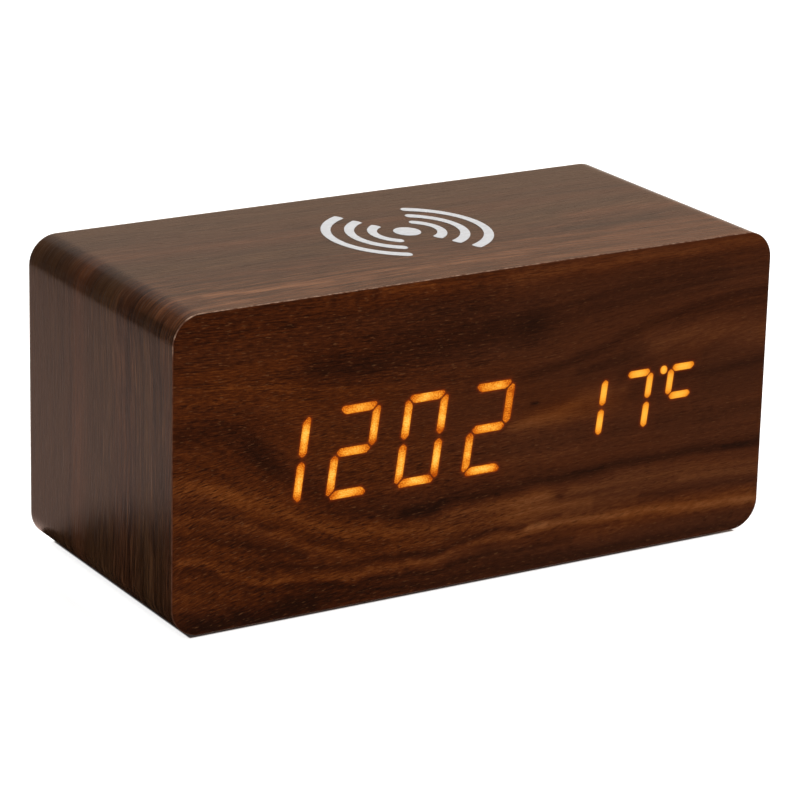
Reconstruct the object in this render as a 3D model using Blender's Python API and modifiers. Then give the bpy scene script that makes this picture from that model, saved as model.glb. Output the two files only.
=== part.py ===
"""Wireless charging desk clock with a wood-look case, modelled as its separate parts.

Width runs along X, the display faces -Y and +Z is up. The origin is on the table, under the middle of the case.
All dimensions below are in millimetres; the scene is in metres.
"""

import math

import bmesh
import bpy
from mathutils import Vector

MM = 0.001

# ---------------------------------------------------------------- driving dimensions (mm)
WIDTH = 150.0            # case, along X
DEPTH = 67.5             # case, along Y
HEIGHT = 70.0            # case without its feet
FOOT_LIFT = 1.0          # underside of the case above the table
CORNER_R = 6.6           # rounding of the four long edges
FIT = 0.25               # clearance between glued or resting pieces
FILM = 0.4               # wood-look film
WALL = 4.5               # board of the case sleeve
FRONT_BOARD = 3.0
REAR_RECESS = 2.0        # rear cover set in from the end of the case
COVER = 2.5              # rear cover thickness
COVER_GAP = 0.3
SEAM = 0.5               # butt joint of the wrapped film, under the case

FOOT_R, FOOT_H = 5.0, 0.75
FOOT_X, FOOT_Y = 62.0, 24.0

CHARGE_X, CHARGE_Y = 1.0, 0.7          # centre of the charging spot on the top
COIL_R_OUT, COIL_R_IN, COIL_H = 21.5, 10.2, 1.2
FERRITE_R, FERRITE_H = 24.3, 1.6
TRAY_R, TRAY_FLOOR = 27.3, 1.5
POCKET_R, POCKET_H = 27.0, 2.3

DIGIT_Z = 35.9                          # middle bar of the digits, above the table
BIG = dict(w=9.1, h=9.4, t=1.9, lean=0.135)
BIG_X = (-49.3, -32.35, -15.5, 1.35)
SMALL = dict(w=6.3, h=6.6, t=1.45, lean=0.12)
SMALL_X = (27.65, 39.95, 51.65)
SMALL_Z = 35.7
DEGREE = (47.2, 42.2, 0.9)
COLON_X, COLON_DZ, COLON_R = -23.9, 4.2, 0.8

WINDOW_X0, WINDOW_X1 = -58.0, 60.0
WINDOW_Z0, WINDOW_Z1 = 22.6, 49.4

CELL_R, CELL_LEN, CELL_PITCH = 5.25, 44.5, 11.8
TUB_X0, TUB_X1 = -61.0, -9.0
TUB_Z0, TUB_Z1 = 14.2, 49.8
TUB_FLOOR_Y, TUB_WALL = 18.3, 1.4
DOOR_MARGIN = 2.0
DOOR_T = 1.6
HINGE_R = 0.8

BUTTON_X = (15.0, 31.0, 47.0)
BUTTON_Z = 49.0
BUTTON_R, BUTTON_HOLE_R, BUTTON_FLANGE_R = 3.3, 3.6, 4.6
BUTTON_PROUD = 0.9

SWITCH_X, SWITCH_Z, SWITCH_TRAVEL = 52.0, 17.0, 2.0
USB_X, USB_Z = 31.0, 17.0
BUZZER_X, BUZZER_Z = 51.0, 33.0
MIC_X, MIC_Z = 12.0, 33.0
SENSOR_X, SENSOR_Z = 12.0, 17.0

BOARD_X0, BOARD_X1 = 4.0, 62.0
BOARD_Z0, BOARD_Z1 = 11.0, 58.0
BOARD_Y, BOARD_T = 20.0, 1.6

SCREW_X, SCREW_Z_LOW, SCREW_Z_HIGH = 66.3, 9.7, 62.3

# ---------------------------------------------------------------- planes worked out from them (mm)
Z0 = FOOT_LIFT
Z1 = FOOT_LIFT + HEIGHT
ZM = (Z0 + Z1) / 2
Y_FRONT = -DEPTH / 2
Y_BACK = DEPTH / 2
SKIN = FILM + FIT                               # board surface under the film
Y_BOARD0 = Y_FRONT + SKIN                       # front board, outer face
Y_BOARD1 = Y_BOARD0 + FRONT_BOARD
Y_SLEEVE0 = Y_BOARD1 + FIT
COVER_Y1 = Y_BACK - REAR_RECESS                 # rear cover, outer face
COVER_Y0 = COVER_Y1 - COVER
IN_X = WIDTH / 2 - SKIN - WALL                  # inside of the sleeve
IN_Z0 = Z0 + SKIN + WALL
IN_Z1 = Z1 - SKIN - WALL
BOARD_Y1 = BOARD_Y + BOARD_T
DOOR_Y1 = COVER_Y1 - 0.1
DOOR_Y0 = DOOR_Y1 - DOOR_T
DOOR_X0, DOOR_X1 = TUB_X0 - DOOR_MARGIN, TUB_X1 + DOOR_MARGIN
DOOR_Z0, DOOR_Z1 = TUB_Z0 - 1.0, TUB_Z1 + DOOR_MARGIN
HINGE_Y = (DOOR_Y0 + DOOR_Y1) / 2
HINGE_Z = DOOR_Z0


# ---------------------------------------------------------------- scene and collections
for ob in list(bpy.data.objects):
    bpy.data.objects.remove(ob, do_unlink=True)

PARTS = bpy.data.collections.new("wireless_charging_clock")
CUTTERS = bpy.data.collections.new("cutters")
bpy.context.scene.collection.children.link(PARTS)
bpy.context.scene.collection.children.link(CUTTERS)


def material(name, colour, roughness, metallic=0.0):
    mat = bpy.data.materials.new(name)
    mat.use_nodes = True
    bsdf = mat.node_tree.nodes["Principled BSDF"]
    bsdf.inputs["Base Color"].default_value = (*colour, 1.0)
    bsdf.inputs["Roughness"].default_value = roughness
    bsdf.inputs["Metallic"].default_value = metallic
    mat.diffuse_color = (*colour, 1.0)
    return mat


def place(name, mesh, at, colour=None, rotation=(0.0, 0.0, 0.0), parent=None, smooth=None):
    """A named part, standing at a point given in millimetres."""
    ob = bpy.data.objects.new(name, mesh)
    PARTS.objects.link(ob)
    if smooth is not None:
        mesh.shade_smooth()
        mesh.set_sharp_from_angle(angle=math.radians(smooth))
    ob.rotation_euler = rotation
    point = Vector(at) * MM
    if parent is not None:
        ob.parent = parent
        point = point - parent.location
    ob.location = point
    if colour is not None:
        mesh.materials.append(colour)
    return ob


def as_tool(ob):
    """Moves a shape to the cutters, where it only serves a Boolean."""
    PARTS.objects.unlink(ob)
    CUTTERS.objects.link(ob)
    ob.hide_render = True
    ob.display_type = "WIRE"
    return ob


def boolean(ob, tool, operation):
    mod = ob.modifiers.new(tool.name, "BOOLEAN")
    mod.operation = operation
    mod.solver = "EXACT"
    mod.object = as_tool(tool)
    return ob


def cut(ob, *tools):
    for tool in tools:
        boolean(ob, tool, "DIFFERENCE")
    return ob


def join(ob, *tools):
    for tool in tools:
        boolean(ob, tool, "UNION")
    return ob


def mesh_from(bm, name):
    bmesh.ops.recalc_face_normals(bm, faces=bm.faces)
    mesh = bpy.data.meshes.new(name)
    bm.to_mesh(mesh)
    bm.free()
    return mesh


def box_mesh(name, size, radius=0.0, axis=1, segments=4):
    """A box, its four edges along one axis rounded."""
    bm = bmesh.new()
    bmesh.ops.create_cube(bm, size=1.0)
    bmesh.ops.scale(bm, vec=Vector(size) * MM, verts=bm.verts)
    if radius:
        edges = [e for e in bm.edges if abs((e.verts[0].co - e.verts[1].co)[axis]) > 1e-7]
        bmesh.ops.bevel(bm, geom=edges, offset=radius * MM, segments=segments, profile=0.5, affect="EDGES")
    return mesh_from(bm, name)


def box(name, x, y, z, colour=None, radius=0.0, axis=1, segments=4, **more):
    """A box from its lowest and highest X, Y and Z."""
    size = (x[1] - x[0], y[1] - y[0], z[1] - z[0])
    centre = ((x[0] + x[1]) / 2, (y[0] + y[1]) / 2, (z[0] + z[1]) / 2)
    return place(name, box_mesh(name, size, radius, axis, segments), centre, colour, **more)


ALONG = {"X": (0.0, math.pi / 2, 0.0), "Y": (-math.pi / 2, 0.0, 0.0), "Z": (0.0, 0.0, 0.0)}


def cylinder(name, radius, length, at, axis="Z", colour=None, segments=24, top=None, smooth=35, **more):
    """A cylinder or cone whose middle is at a point."""
    bm = bmesh.new()
    bmesh.ops.create_cone(bm, cap_ends=True, segments=segments, radius1=radius * MM,
                          radius2=(radius if top is None else top) * MM, depth=length * MM)
    return place(name, mesh_from(bm, name), at, colour, rotation=ALONG[axis], smooth=smooth, **more)


def turned(name, profile, at, axis="Z", colour=None, steps=32, ring=False, **more):
    """A turned part: its outline in (radius, height) runs down the outer side, from top to bottom."""
    bm = bmesh.new()
    points = [bm.verts.new((r * MM, 0.0, h * MM)) for r, h in profile]
    for a, b in zip(points, points[1:]):
        bm.edges.new((a, b))
    if ring:
        bm.edges.new((points[-1], points[0]))
    mesh = bpy.data.meshes.new(name)
    bm.to_mesh(mesh)
    bm.free()
    ob = place(name, mesh, at, colour, rotation=ALONG[axis], **more)
    mod = ob.modifiers.new("turn", "SCREW")
    mod.angle = math.radians(360)
    mod.steps = steps
    mod.render_steps = steps
    mod.use_merge_vertices = True
    mod.merge_threshold = 1e-6
    mod.use_smooth_shade = True
    return ob


def tube(name, points, radius, colour=None, sides=1):
    """A wire along a smooth line through points, made a mesh with welded ends."""
    curve = bpy.data.curves.new(name, "CURVE")
    curve.dimensions = "3D"
    curve.bevel_depth = radius * MM
    curve.bevel_resolution = sides
    curve.use_fill_caps = True
    spline = curve.splines.new("POLY")
    spline.points.add(len(points) - 1)
    for p, co in zip(spline.points, points):
        p.co = (*(Vector(co) * MM), 1.0)
    ob = bpy.data.objects.new(name, curve)
    PARTS.objects.link(ob)
    evaluated = ob.evaluated_get(bpy.context.evaluated_depsgraph_get())
    mesh = bpy.data.meshes.new_from_object(evaluated)
    bm = bmesh.new()
    bm.from_mesh(mesh)
    bmesh.ops.remove_doubles(bm, verts=bm.verts, dist=1e-6)
    bm.to_mesh(mesh)
    bm.free()
    matrix = ob.matrix_world.copy()
    bpy.data.objects.remove(ob)
    result = bpy.data.objects.new(name, mesh)
    PARTS.objects.link(result)
    result.matrix_world = matrix
    if colour is not None:
        mesh.materials.clear()
        mesh.materials.append(colour)
    return result


def smooth_line(points, steps):
    """Points on a Catmull-Rom curve through the given ones."""
    pts = [Vector(p) for p in points]
    pts = [2 * pts[0] - pts[1]] + pts + [2 * pts[-1] - pts[-2]]
    out = []
    for a, b, c, d in zip(pts, pts[1:], pts[2:], pts[3:]):
        for i in range(steps):
            t = i / steps
            out.append(0.5 * (2 * b + (c - a) * t + (2 * a - 5 * b + 4 * c - d) * t * t + (3 * b - a - 3 * c + d) * t ** 3))
    out.append(pts[-2])
    return [tuple(p) for p in out]


def prism(name, outlines, y0, y1, colour=None):
    """Flat outlines in X and Z, each drawn out along Y, as one mesh."""
    bm = bmesh.new()
    for outline in outlines:
        verts = [bm.verts.new((x * MM, y0 * MM, z * MM)) for x, z in outline]
        face = bm.faces.new(verts)
        moved = bmesh.ops.extrude_face_region(bm, geom=[face])["geom"]
        bmesh.ops.translate(bm, vec=(0.0, (y1 - y0) * MM, 0.0), verts=[v for v in moved if isinstance(v, bmesh.types.BMVert)])
    return place(name, mesh_from(bm, name), (0, 0, 0), colour)


# ---------------------------------------------------------------- finishes
WOOD_FILM = material("wood_look_film", (0.055, 0.021, 0.011), 0.42)
FRONT_FILM_MAT = material("wood_look_front", (0.045, 0.015, 0.007), 0.4)
FIBREBOARD = material("fibreboard", (0.36, 0.25, 0.15), 0.85)
BLACK_ABS = material("black_abs", (0.02, 0.02, 0.022), 0.5)
WHITE_ABS = material("white_abs", (0.75, 0.75, 0.72), 0.45)
OPAL = material("opal_sheet", (0.8, 0.78, 0.72), 0.35)
PCB_GREEN = material("circuit_board", (0.02, 0.12, 0.05), 0.4)
CHIP = material("chip_epoxy", (0.02, 0.02, 0.02), 0.5)
STEEL = material("plated_steel", (0.6, 0.6, 0.6), 0.3, 1.0)
COPPER = material("coil_winding", (0.55, 0.24, 0.1), 0.35, 0.8)
FERRITE = material("ferrite", (0.05, 0.05, 0.055), 0.6)
RUBBER = material("foot_rubber", (0.03, 0.03, 0.03), 0.8)
CELL = material("cell_jacket", (0.03, 0.12, 0.3), 0.35)
RED = material("red_wire", (0.5, 0.02, 0.02), 0.45)
BLACK = material("black_wire", (0.02, 0.02, 0.02), 0.45)
RIBBON = material("ribbon_cable", (0.7, 0.7, 0.68), 0.4)

# ================================================================ case
def shell_box(name, inset, y, colour=None):
    """The outline of the case, set in all round."""
    return box(name, (-WIDTH / 2 + inset, WIDTH / 2 - inset), y, (Z0 + inset, Z1 - inset), colour,
               radius=CORNER_R - inset, axis=1, segments=8)


# The sleeve is a four-sided tube of board, open at both ends. Its top is thinned from inside over the charging coil.
case_sleeve = shell_box("case_sleeve", SKIN, (Y_SLEEVE0, Y_BACK), FIBREBOARD)
cut(case_sleeve, box("cut_sleeve_inside", (-IN_X, IN_X), (Y_SLEEVE0 - 2, Y_BACK + 2), (IN_Z0, IN_Z1), radius=1.5, segments=3))
cut(case_sleeve, cylinder("cut_coil_pocket", POCKET_R, POCKET_H + 2, (CHARGE_X, CHARGE_Y, IN_Z1 + POCKET_H / 2 - 1), segments=36))
for side, sx in (("left", -1), ("right", 1)):
    for level, (za, zb) in (("low", (IN_Z0 - 1, IN_Z0 + 7)), ("high", (IN_Z1 - 7, IN_Z1 + 1))):
        xs = sorted((sx * (IN_X + 1), sx * (IN_X - 7)))
        join(case_sleeve, box(f"block_{side}_{level}", xs, (16.0, COVER_Y0 - COVER_GAP), (za, zb)))
for sx in (-1, 1):
    for z in (SCREW_Z_LOW, SCREW_Z_HIGH):
        cut(case_sleeve, cylinder(f"cut_pilot_{sx}_{z:.0f}", 1.4, 12.0, (sx * SCREW_X, COVER_Y0 - 5.0, z), "Y", segments=12))

# The film goes once round the four sides and meets itself under the case.
wrap_film = shell_box("wrap_film", 0.0, (Y_FRONT + SKIN, Y_BACK), WOOD_FILM)
cut(wrap_film, shell_box("cut_film_inside", FILM, (Y_FRONT - 5, Y_BACK + 5)))
cut(wrap_film, box("cut_film_seam", (-SEAM / 2, SEAM / 2), (Y_FRONT - 5, Y_BACK + 5), (Z0 - 3, Z0 + 3)))

front_board = shell_box("front_board", SKIN, (Y_BOARD0, Y_BOARD1), FIBREBOARD)
cut(front_board, box("cut_window", (WINDOW_X0, WINDOW_X1), (Y_BOARD0 - 2, Y_BOARD1 + 2), (WINDOW_Z0, WINDOW_Z1), radius=1.5, segments=3))

front_film = shell_box("front_film", 0.0, (Y_FRONT, Y_FRONT + FILM), FRONT_FILM_MAT)

for name, sx, sy in (("foot_front_left", -1, -1), ("foot_front_right", 1, -1), ("foot_back_left", -1, 1), ("foot_back_right", 1, 1)):
    turned(name, [(0, FOOT_H), (FOOT_R - 0.25, FOOT_H), (FOOT_R, FOOT_H - 0.25), (FOOT_R - 0.15, 0), (0, 0)],
           (sx * FOOT_X, sy * FOOT_Y, 0), colour=RUBBER, steps=24)


# ================================================================ display
def digit(x, z, w, h, t, lean):
    """The seven bars of one digit as flat six-sided outlines, leaning to the right."""
    gap = 0.18
    def bar(x0, z0, x1, z1):
        dx, dz = x1 - x0, z1 - z0
        length = math.hypot(dx, dz)
        ux, uz = dx / length, dz / length
        px, pz = -uz * t / 2, ux * t / 2
        a, b = gap, gap + t / 2
        pts = [(x0 + ux * a, z0 + uz * a), (x0 + ux * b + px, z0 + uz * b + pz), (x1 - ux * b + px, z1 - uz * b + pz),
               (x1 - ux * a, z1 - uz * a), (x1 - ux * b - px, z1 - uz * b - pz), (x0 + ux * b - px, z0 + uz * b - pz)]
        return [(x + q + lean * r, z + r) for q, r in pts]
    l, r = -w / 2, w / 2
    return {"a": bar(l, h, r, h), "b": bar(r, 0, r, h), "c": bar(r, -h, r, 0), "d": bar(l, -h, r, -h),
            "e": bar(l, -h, l, 0), "f": bar(l, 0, l, h), "g": bar(l, 0, r, 0)}


def round_outline(x, z, radius, n=10):
    return [(x + radius * math.cos(2 * math.pi * i / n), z + radius * math.sin(2 * math.pi * i / n)) for i in range(n)]


wells = []
for x in BIG_X:
    wells += digit(x, DIGIT_Z, **BIG).values()
for x in SMALL_X:
    wells += digit(x, SMALL_Z, **SMALL).values()
wells.append(round_outline(*DEGREE))
for s in (-1, 1):
    wells.append(round_outline(COLON_X + s * COLON_DZ * BIG["lean"], DIGIT_Z + s * COLON_DZ, COLON_R))

IN_WINDOW_X = (WINDOW_X0 + 0.3, WINDOW_X1 - 0.3)
IN_WINDOW_Z = (WINDOW_Z0 + 0.3, WINDOW_Z1 - 0.3)
DIFF_Y0 = Y_BOARD0 + 0.2
DIFF_Y1 = DIFF_Y0 + 0.5
diffuser_sheet = box("diffuser_sheet", IN_WINDOW_X, (DIFF_Y0, DIFF_Y1), IN_WINDOW_Z, OPAL, radius=1.2, segments=3)

MASK_Y0, MASK_Y1 = DIFF_Y1 + 0.3, DIFF_Y1 + 6.3
FLANGE_Y = (Y_BOARD1 + 0.3, Y_BOARD1 + 1.8)
FLANGE_X = (WINDOW_X0 - 3.2, WINDOW_X1 + 3.2)
FLANGE_Z = (WINDOW_Z0 - 3.0, WINDOW_Z1 + 3.0)
display_mask = box("display_mask", IN_WINDOW_X, (MASK_Y0, MASK_Y1), IN_WINDOW_Z, WHITE_ABS, radius=1.2, segments=3)
join(display_mask, box("mask_flange", FLANGE_X, FLANGE_Y, FLANGE_Z, radius=2.0, segments=3))
DISPLAY_SCREWS = (("left", WINDOW_X0 - 0.9), ("right", WINDOW_X1 + 0.9))
for side, x in DISPLAY_SCREWS:
    join(display_mask, box(f"mask_boss_{side}", (x - 2.1, x + 2.1), (FLANGE_Y[0] + 0.2, MASK_Y1), (DIGIT_Z - 4, DIGIT_Z + 4)))
cut(display_mask, prism("cut_wells", wells, MASK_Y0 - 2, MASK_Y1 + 2))
for side, x in DISPLAY_SCREWS:
    cut(display_mask, cylinder(f"cut_mask_pilot_{side}", 1.1, 6.0, (x, MASK_Y1 + 0.3, DIGIT_Z), "Y", segments=12))

PANEL_Y0 = MASK_Y1 + 0.3
PANEL_Y1 = PANEL_Y0 + 1.2
display_board = box("display_board", FLANGE_X, (PANEL_Y0, PANEL_Y1), FLANGE_Z, PCB_GREEN, radius=1.0, segments=2)
# One light-emitting chip stands in the middle of each well.
for i, outline in enumerate(wells):
    cx = sum(p[0] for p in outline) / len(outline)
    cz = sum(p[1] for p in outline) / len(outline)
    if i == 0:
        bm = bmesh.new()
    lamp = bmesh.ops.create_cube(bm, size=1.0)["verts"]
    bmesh.ops.scale(bm, vec=Vector((0.8, 1.1, 0.8)) * MM, verts=lamp)
    bmesh.ops.translate(bm, vec=Vector((cx, PANEL_Y0 - 0.35, cz)) * MM, verts=lamp)
join(display_board, place("lamps", mesh_from(bm, "lamps"), (0, 0, 0)))
join(display_board, box("ribbon_header_front", (22.5, 37.5), (PANEL_Y1 - 0.2, PANEL_Y1 + 2.0), (25.0, 30.0)))
for side, x in DISPLAY_SCREWS:
    cut(display_board, cylinder(f"cut_panel_hole_{side}", 1.15, 6.0, (x, PANEL_Y0, DIGIT_Z), "Y", segments=12))


def screw(name, at, head_r, head_h, shank_r, shank_len, facing=1):
    """A pan-head screw with a cross recess, its head's underside at a point and its shank along -Y."""
    profile = [(0, head_h), (head_r * 0.6, head_h), (head_r, head_h * 0.55), (head_r, 0), (shank_r, 0),
               (shank_r, -shank_len + 1.0), (0, -shank_len)]
    ob = turned(name, profile, at, "Y", STEEL, steps=12)
    x, y, z = at
    for k, (a, b) in enumerate(((head_r * 0.55, 0.25), (0.25, head_r * 0.55))):
        cut(ob, box(f"cut_{name}_{k}", (x - a, x + a), (y + head_h - 0.6, y + head_h + 1), (z - b, z + b)))
    return ob


for side, x in DISPLAY_SCREWS:
    screw(f"display_screw_{side}", (x, PANEL_Y1 + 0.3, DIGIT_Z), 1.8, 1.1, 0.8, 4.6)

# ================================================================ rear cover, battery tub and door
rear_cover = box("rear_cover", (-IN_X + COVER_GAP, IN_X - COVER_GAP), (COVER_Y0, COVER_Y1), (IN_Z0 + COVER_GAP, IN_Z1 - COVER_GAP),
                 BLACK_ABS, radius=1.3, segments=3)
join(rear_cover, box("tub_body", (TUB_X0 - TUB_WALL, TUB_X1 + TUB_WALL), (TUB_FLOOR_Y - TUB_WALL, COVER_Y0 + 0.5),
                     (TUB_Z0 - TUB_WALL, TUB_Z1 + TUB_WALL)))
POSTS = [(x, z) for x in (BOARD_X0 + 3.5, BOARD_X1 - 3.5) for z in (BOARD_Z0 + 14.0, BOARD_Z1 - 3.5)]
for i, (x, z) in enumerate(POSTS):
    join(rear_cover, cylinder(f"post_{i}", 2.4, COVER_Y0 + 0.5 - (BOARD_Y1 + 0.3), (x, (COVER_Y0 + 0.5 + BOARD_Y1 + 0.3) / 2, z), "Y", segments=16))
    join(rear_cover, cylinder(f"pin_{i}", 1.0, BOARD_T + 2.6, (x, BOARD_Y + BOARD_T / 2 + 0.5, z), "Y", segments=12))
cut(rear_cover, box("cut_tub", (TUB_X0, TUB_X1), (TUB_FLOOR_Y, COVER_Y1 + 3), (TUB_Z0, TUB_Z1)))
cut(rear_cover, box("cut_door_seat", (DOOR_X0 - 0.3, DOOR_X1 + 0.3), (DOOR_Y0 - 0.3, COVER_Y1 + 3), (HINGE_Z - HINGE_R - 0.5, DOOR_Z1 + 0.3)))
for side, xs in (("left", (DOOR_X0 - 1.7, DOOR_X0 + 1)), ("right", (DOOR_X1 - 1, DOOR_X1 + 1.7))):
    cut(rear_cover, box(f"cut_hinge_notch_{side}", xs, (HINGE_Y - 0.9, COVER_Y1 + 3), (HINGE_Z - 0.9, HINGE_Z + 0.9)))
cut(rear_cover, cylinder("cut_finger_notch", 6.0, 4.0, ((DOOR_X0 + DOOR_X1) / 2, COVER_Y1 + 1.0, DOOR_Z1 - 1.5), "Y", segments=24))
for i, x in enumerate(BUTTON_X):
    cut(rear_cover, cylinder(f"cut_button_{i}", BUTTON_HOLE_R, 8.0, (x, COVER_Y1, BUTTON_Z), "Y", segments=24))
cut(rear_cover, box("cut_switch", (SWITCH_X - 1.3, SWITCH_X + SWITCH_TRAVEL + 1.3), (COVER_Y0 - 2, COVER_Y1 + 2), (SWITCH_Z - 1.5, SWITCH_Z + 1.5)))
cut(rear_cover, box("cut_usb", (USB_X - 4.9, USB_X + 4.9), (COVER_Y0 - 2, COVER_Y1 + 2), (USB_Z - 2.0, USB_Z + 2.0), radius=1.95, segments=6))
for i in range(7):
    a = 2 * math.pi * i / 6
    r = 0.0 if i == 6 else 3.0
    cut(rear_cover, cylinder(f"cut_sound_{i}", 0.65, 8.0, (BUZZER_X + r * math.cos(a), COVER_Y1, BUZZER_Z + r * math.sin(a)), "Y", segments=10))
cut(rear_cover, cylinder("cut_mic", 0.65, 8.0, (MIC_X, COVER_Y1, MIC_Z), "Y", segments=12))
for i in range(5):
    z = SENSOR_Z - 4.0 + 2.0 * i
    cut(rear_cover, box(f"cut_vent_{i}", (SENSOR_X - 4.0, SENSOR_X + 4.0), (COVER_Y0 - 2, COVER_Y1 + 2), (z - 0.5, z + 0.5)))
for sx in (-1, 1):
    for z in (SCREW_Z_LOW, SCREW_Z_HIGH):
        tag = f"{'l' if sx < 0 else 'r'}_{z:.0f}"
        cut(rear_cover, cylinder(f"cut_screw_{tag}", 1.5, 8.0, (sx * SCREW_X, COVER_Y1, z), "Y", segments=16))
        cut(rear_cover, cylinder(f"cut_screw_seat_{tag}", 2.6, 3.0, (sx * SCREW_X, COVER_Y1, z), "Y", segments=20))
# Low ribs on the tub's floor keep the cells apart.
CELL_Z = tuple((TUB_Z0 + TUB_Z1) / 2 + k * CELL_PITCH for k in (-1, 0, 1))
CELL_Y = TUB_FLOOR_Y + 0.35 + CELL_R
for i, z in enumerate(((CELL_Z[0] + CELL_Z[1]) / 2, (CELL_Z[1] + CELL_Z[2]) / 2)):
    join(rear_cover, box(f"rib_{i}", (TUB_X0 + 9, TUB_X1 - 9), (TUB_FLOOR_Y - 0.5, TUB_FLOOR_Y + 2.4), (z - 0.55, z + 0.55)))

for name, sx, z in (("cover_screw_low_left", -1, SCREW_Z_LOW), ("cover_screw_high_left", -1, SCREW_Z_HIGH),
                    ("cover_screw_low_right", 1, SCREW_Z_LOW), ("cover_screw_high_right", 1, SCREW_Z_HIGH)):
    screw(name, (sx * SCREW_X, COVER_Y1 - 1.2, z), 2.2, 1.1, 1.1, 9.5)

# The door turns on two pins at its lower edge.
hinge = bpy.data.objects.new("battery_door_hinge", None)
PARTS.objects.link(hinge)
hinge.location = Vector(((DOOR_X0 + DOOR_X1) / 2, HINGE_Y, HINGE_Z)) * MM
battery_door = box("battery_door", (DOOR_X0, DOOR_X1), (DOOR_Y0, DOOR_Y1), (HINGE_Z, DOOR_Z1), BLACK_ABS, parent=hinge)
join(battery_door, cylinder("door_barrel", HINGE_R, DOOR_X1 - DOOR_X0, ((DOOR_X0 + DOOR_X1) / 2, HINGE_Y, HINGE_Z), "X", segments=16))
join(battery_door, cylinder("door_pins", 0.5, DOOR_X1 - DOOR_X0 + 2.4, ((DOOR_X0 + DOOR_X1) / 2, HINGE_Y, HINGE_Z), "X", segments=12))
for i in range(4):
    z = DOOR_Z1 - 5.5 - 1.8 * i
    cut(battery_door, box(f"cut_door_grip_{i}", (-41.0, -29.0), (DOOR_Y1 - 0.5, DOOR_Y1 + 2), (z - 0.4, z + 0.4)))
for i, x in enumerate((-46.0, -24.0)):
    cut(battery_door, box(f"cut_latch_slot_{i}", (x - 0.4, x + 0.4), (DOOR_Y0 - 2, DOOR_Y1 + 2), (DOOR_Z1 - 14.0, DOOR_Z1 + 2)))

# ================================================================ cells and their contacts
CELL_MID = (TUB_X0 + TUB_X1) / 2
SPRING_LEN = 5.0
PLATE_T = 0.4
for i, z in enumerate(CELL_Z):
    way = 1 if i != 1 else -1                    # the positive end
    start = (TUB_X0 + 0.3 + PLATE_T + SPRING_LEN + 0.3) if way > 0 else (TUB_X1 - 0.3 - PLATE_T - SPRING_LEN - 0.3)
    nub, body = 1.0, CELL_LEN - 1.0
    profile = [(0, body / 2 + nub), (1.9, body / 2 + nub), (1.9, body / 2), (4.6, body / 2), (CELL_R, body / 2 - 0.6),
               (CELL_R, -body / 2 + 0.3), (CELL_R - 0.4, -body / 2), (0, -body / 2)]
    ob = turned(f"battery_cell_{i + 1}", profile, (start + way * body / 2, CELL_Y, z), "X", CELL, steps=20)
    if way < 0:
        ob.rotation_euler = (0.0, -math.pi / 2, 0.0)


def spring_points(x0, way, y, z, length=SPRING_LEN, turns=2.5, r0=3.4, r1=2.0, n=9):
    out = []
    total = int(turns * n)
    for k in range(total + 1):
        t = k / total
        rise = max(0.0, t - 0.12) / 0.88
        a = 2 * math.pi * turns * t
        r = r0 + (r1 - r0) * t
        out.append((x0 + way * (0.2 + rise * (length - 0.6)), y + r * math.cos(a), z + r * math.sin(a)))
    return out


def contact(name, end, spring_z, plate_z):
    """A bent steel contact at one end of the tub: a plate, with a spring where a cell's flat end meets it."""
    x0 = TUB_X0 + 0.3 if end < 0 else TUB_X1 - 0.3 - PLATE_T
    zs = [z for z in (spring_z, plate_z) if z is not None]
    ob = box(name, (x0, x0 + PLATE_T), (CELL_Y - 4.0, CELL_Y + 4.0), (min(zs) - 4.3, max(zs) + 4.3), STEEL)
    if spring_z is not None:
        face = x0 + PLATE_T if end < 0 else x0
        join(ob, tube(f"{name}_spring", spring_points(face, -end, CELL_Y, spring_z), 0.35))
    return ob


contact("negative_contact", -1, CELL_Z[0], None)
contact("bridge_contact_low", 1, CELL_Z[1], CELL_Z[0])
contact("bridge_contact_high", -1, CELL_Z[2], CELL_Z[1])
contact("positive_contact", 1, None, CELL_Z[2])

# ================================================================ main board and its parts
main_board = box("main_board", (BOARD_X0, BOARD_X1), (BOARD_Y, BOARD_Y1), (BOARD_Z0, BOARD_Z1), PCB_GREEN, radius=1.0, segments=2)
for i, (x, z) in enumerate(POSTS):
    cut(main_board, cylinder(f"cut_board_hole_{i}", 1.3, 6.0, (x, BOARD_Y, z), "Y", segments=12))
join(main_board, box("ribbon_header_rear", (22.5, 37.5), (BOARD_Y - 2.2, BOARD_Y + 0.2), (25.0, 30.0)))

REAR_SIDE = BOARD_Y1 + 0.3
FRONT_SIDE = BOARD_Y - 0.3
SWITCH_TOP = REAR_SIDE + 3.5
TRAVEL = 0.5

for name, x in zip(("set", "up", "down"), BUTTON_X):
    body = box(f"{name}_switch_body", (x - 3, x + 3), (REAR_SIDE, SWITCH_TOP), (BUTTON_Z - 3, BUTTON_Z + 3), CHIP)
    cut(body, cylinder(f"cut_{name}_switch", 2.1, 4.0, (x, SWITCH_TOP + 0.2, BUTTON_Z), "Y", segments=20))
    cylinder(f"{name}_switch_plunger", 1.75, 2.0, (x, SWITCH_TOP + 0.2, BUTTON_Z), "Y", STEEL, segments=20)
    stem0 = SWITCH_TOP + 1.5
    flange1 = COVER_Y0 - COVER_GAP
    cap1 = COVER_Y1 + BUTTON_PROUD
    mid = (stem0 + cap1) / 2
    turned(f"{name}_button", [(0, cap1 - mid), (BUTTON_R - 0.7, cap1 - mid), (BUTTON_R - 0.15, cap1 - 0.25 - mid), (BUTTON_R, cap1 - 0.8 - mid),
                              (BUTTON_R, flange1 - mid), (BUTTON_FLANGE_R, flange1 - mid), (BUTTON_FLANGE_R, flange1 - 0.9 - mid),
                              (1.6, flange1 - 0.9 - mid), (1.6, stem0 - mid), (0, stem0 - mid)],
           (x, mid, BUTTON_Z), "Y", BLACK_ABS, steps=20)

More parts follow.
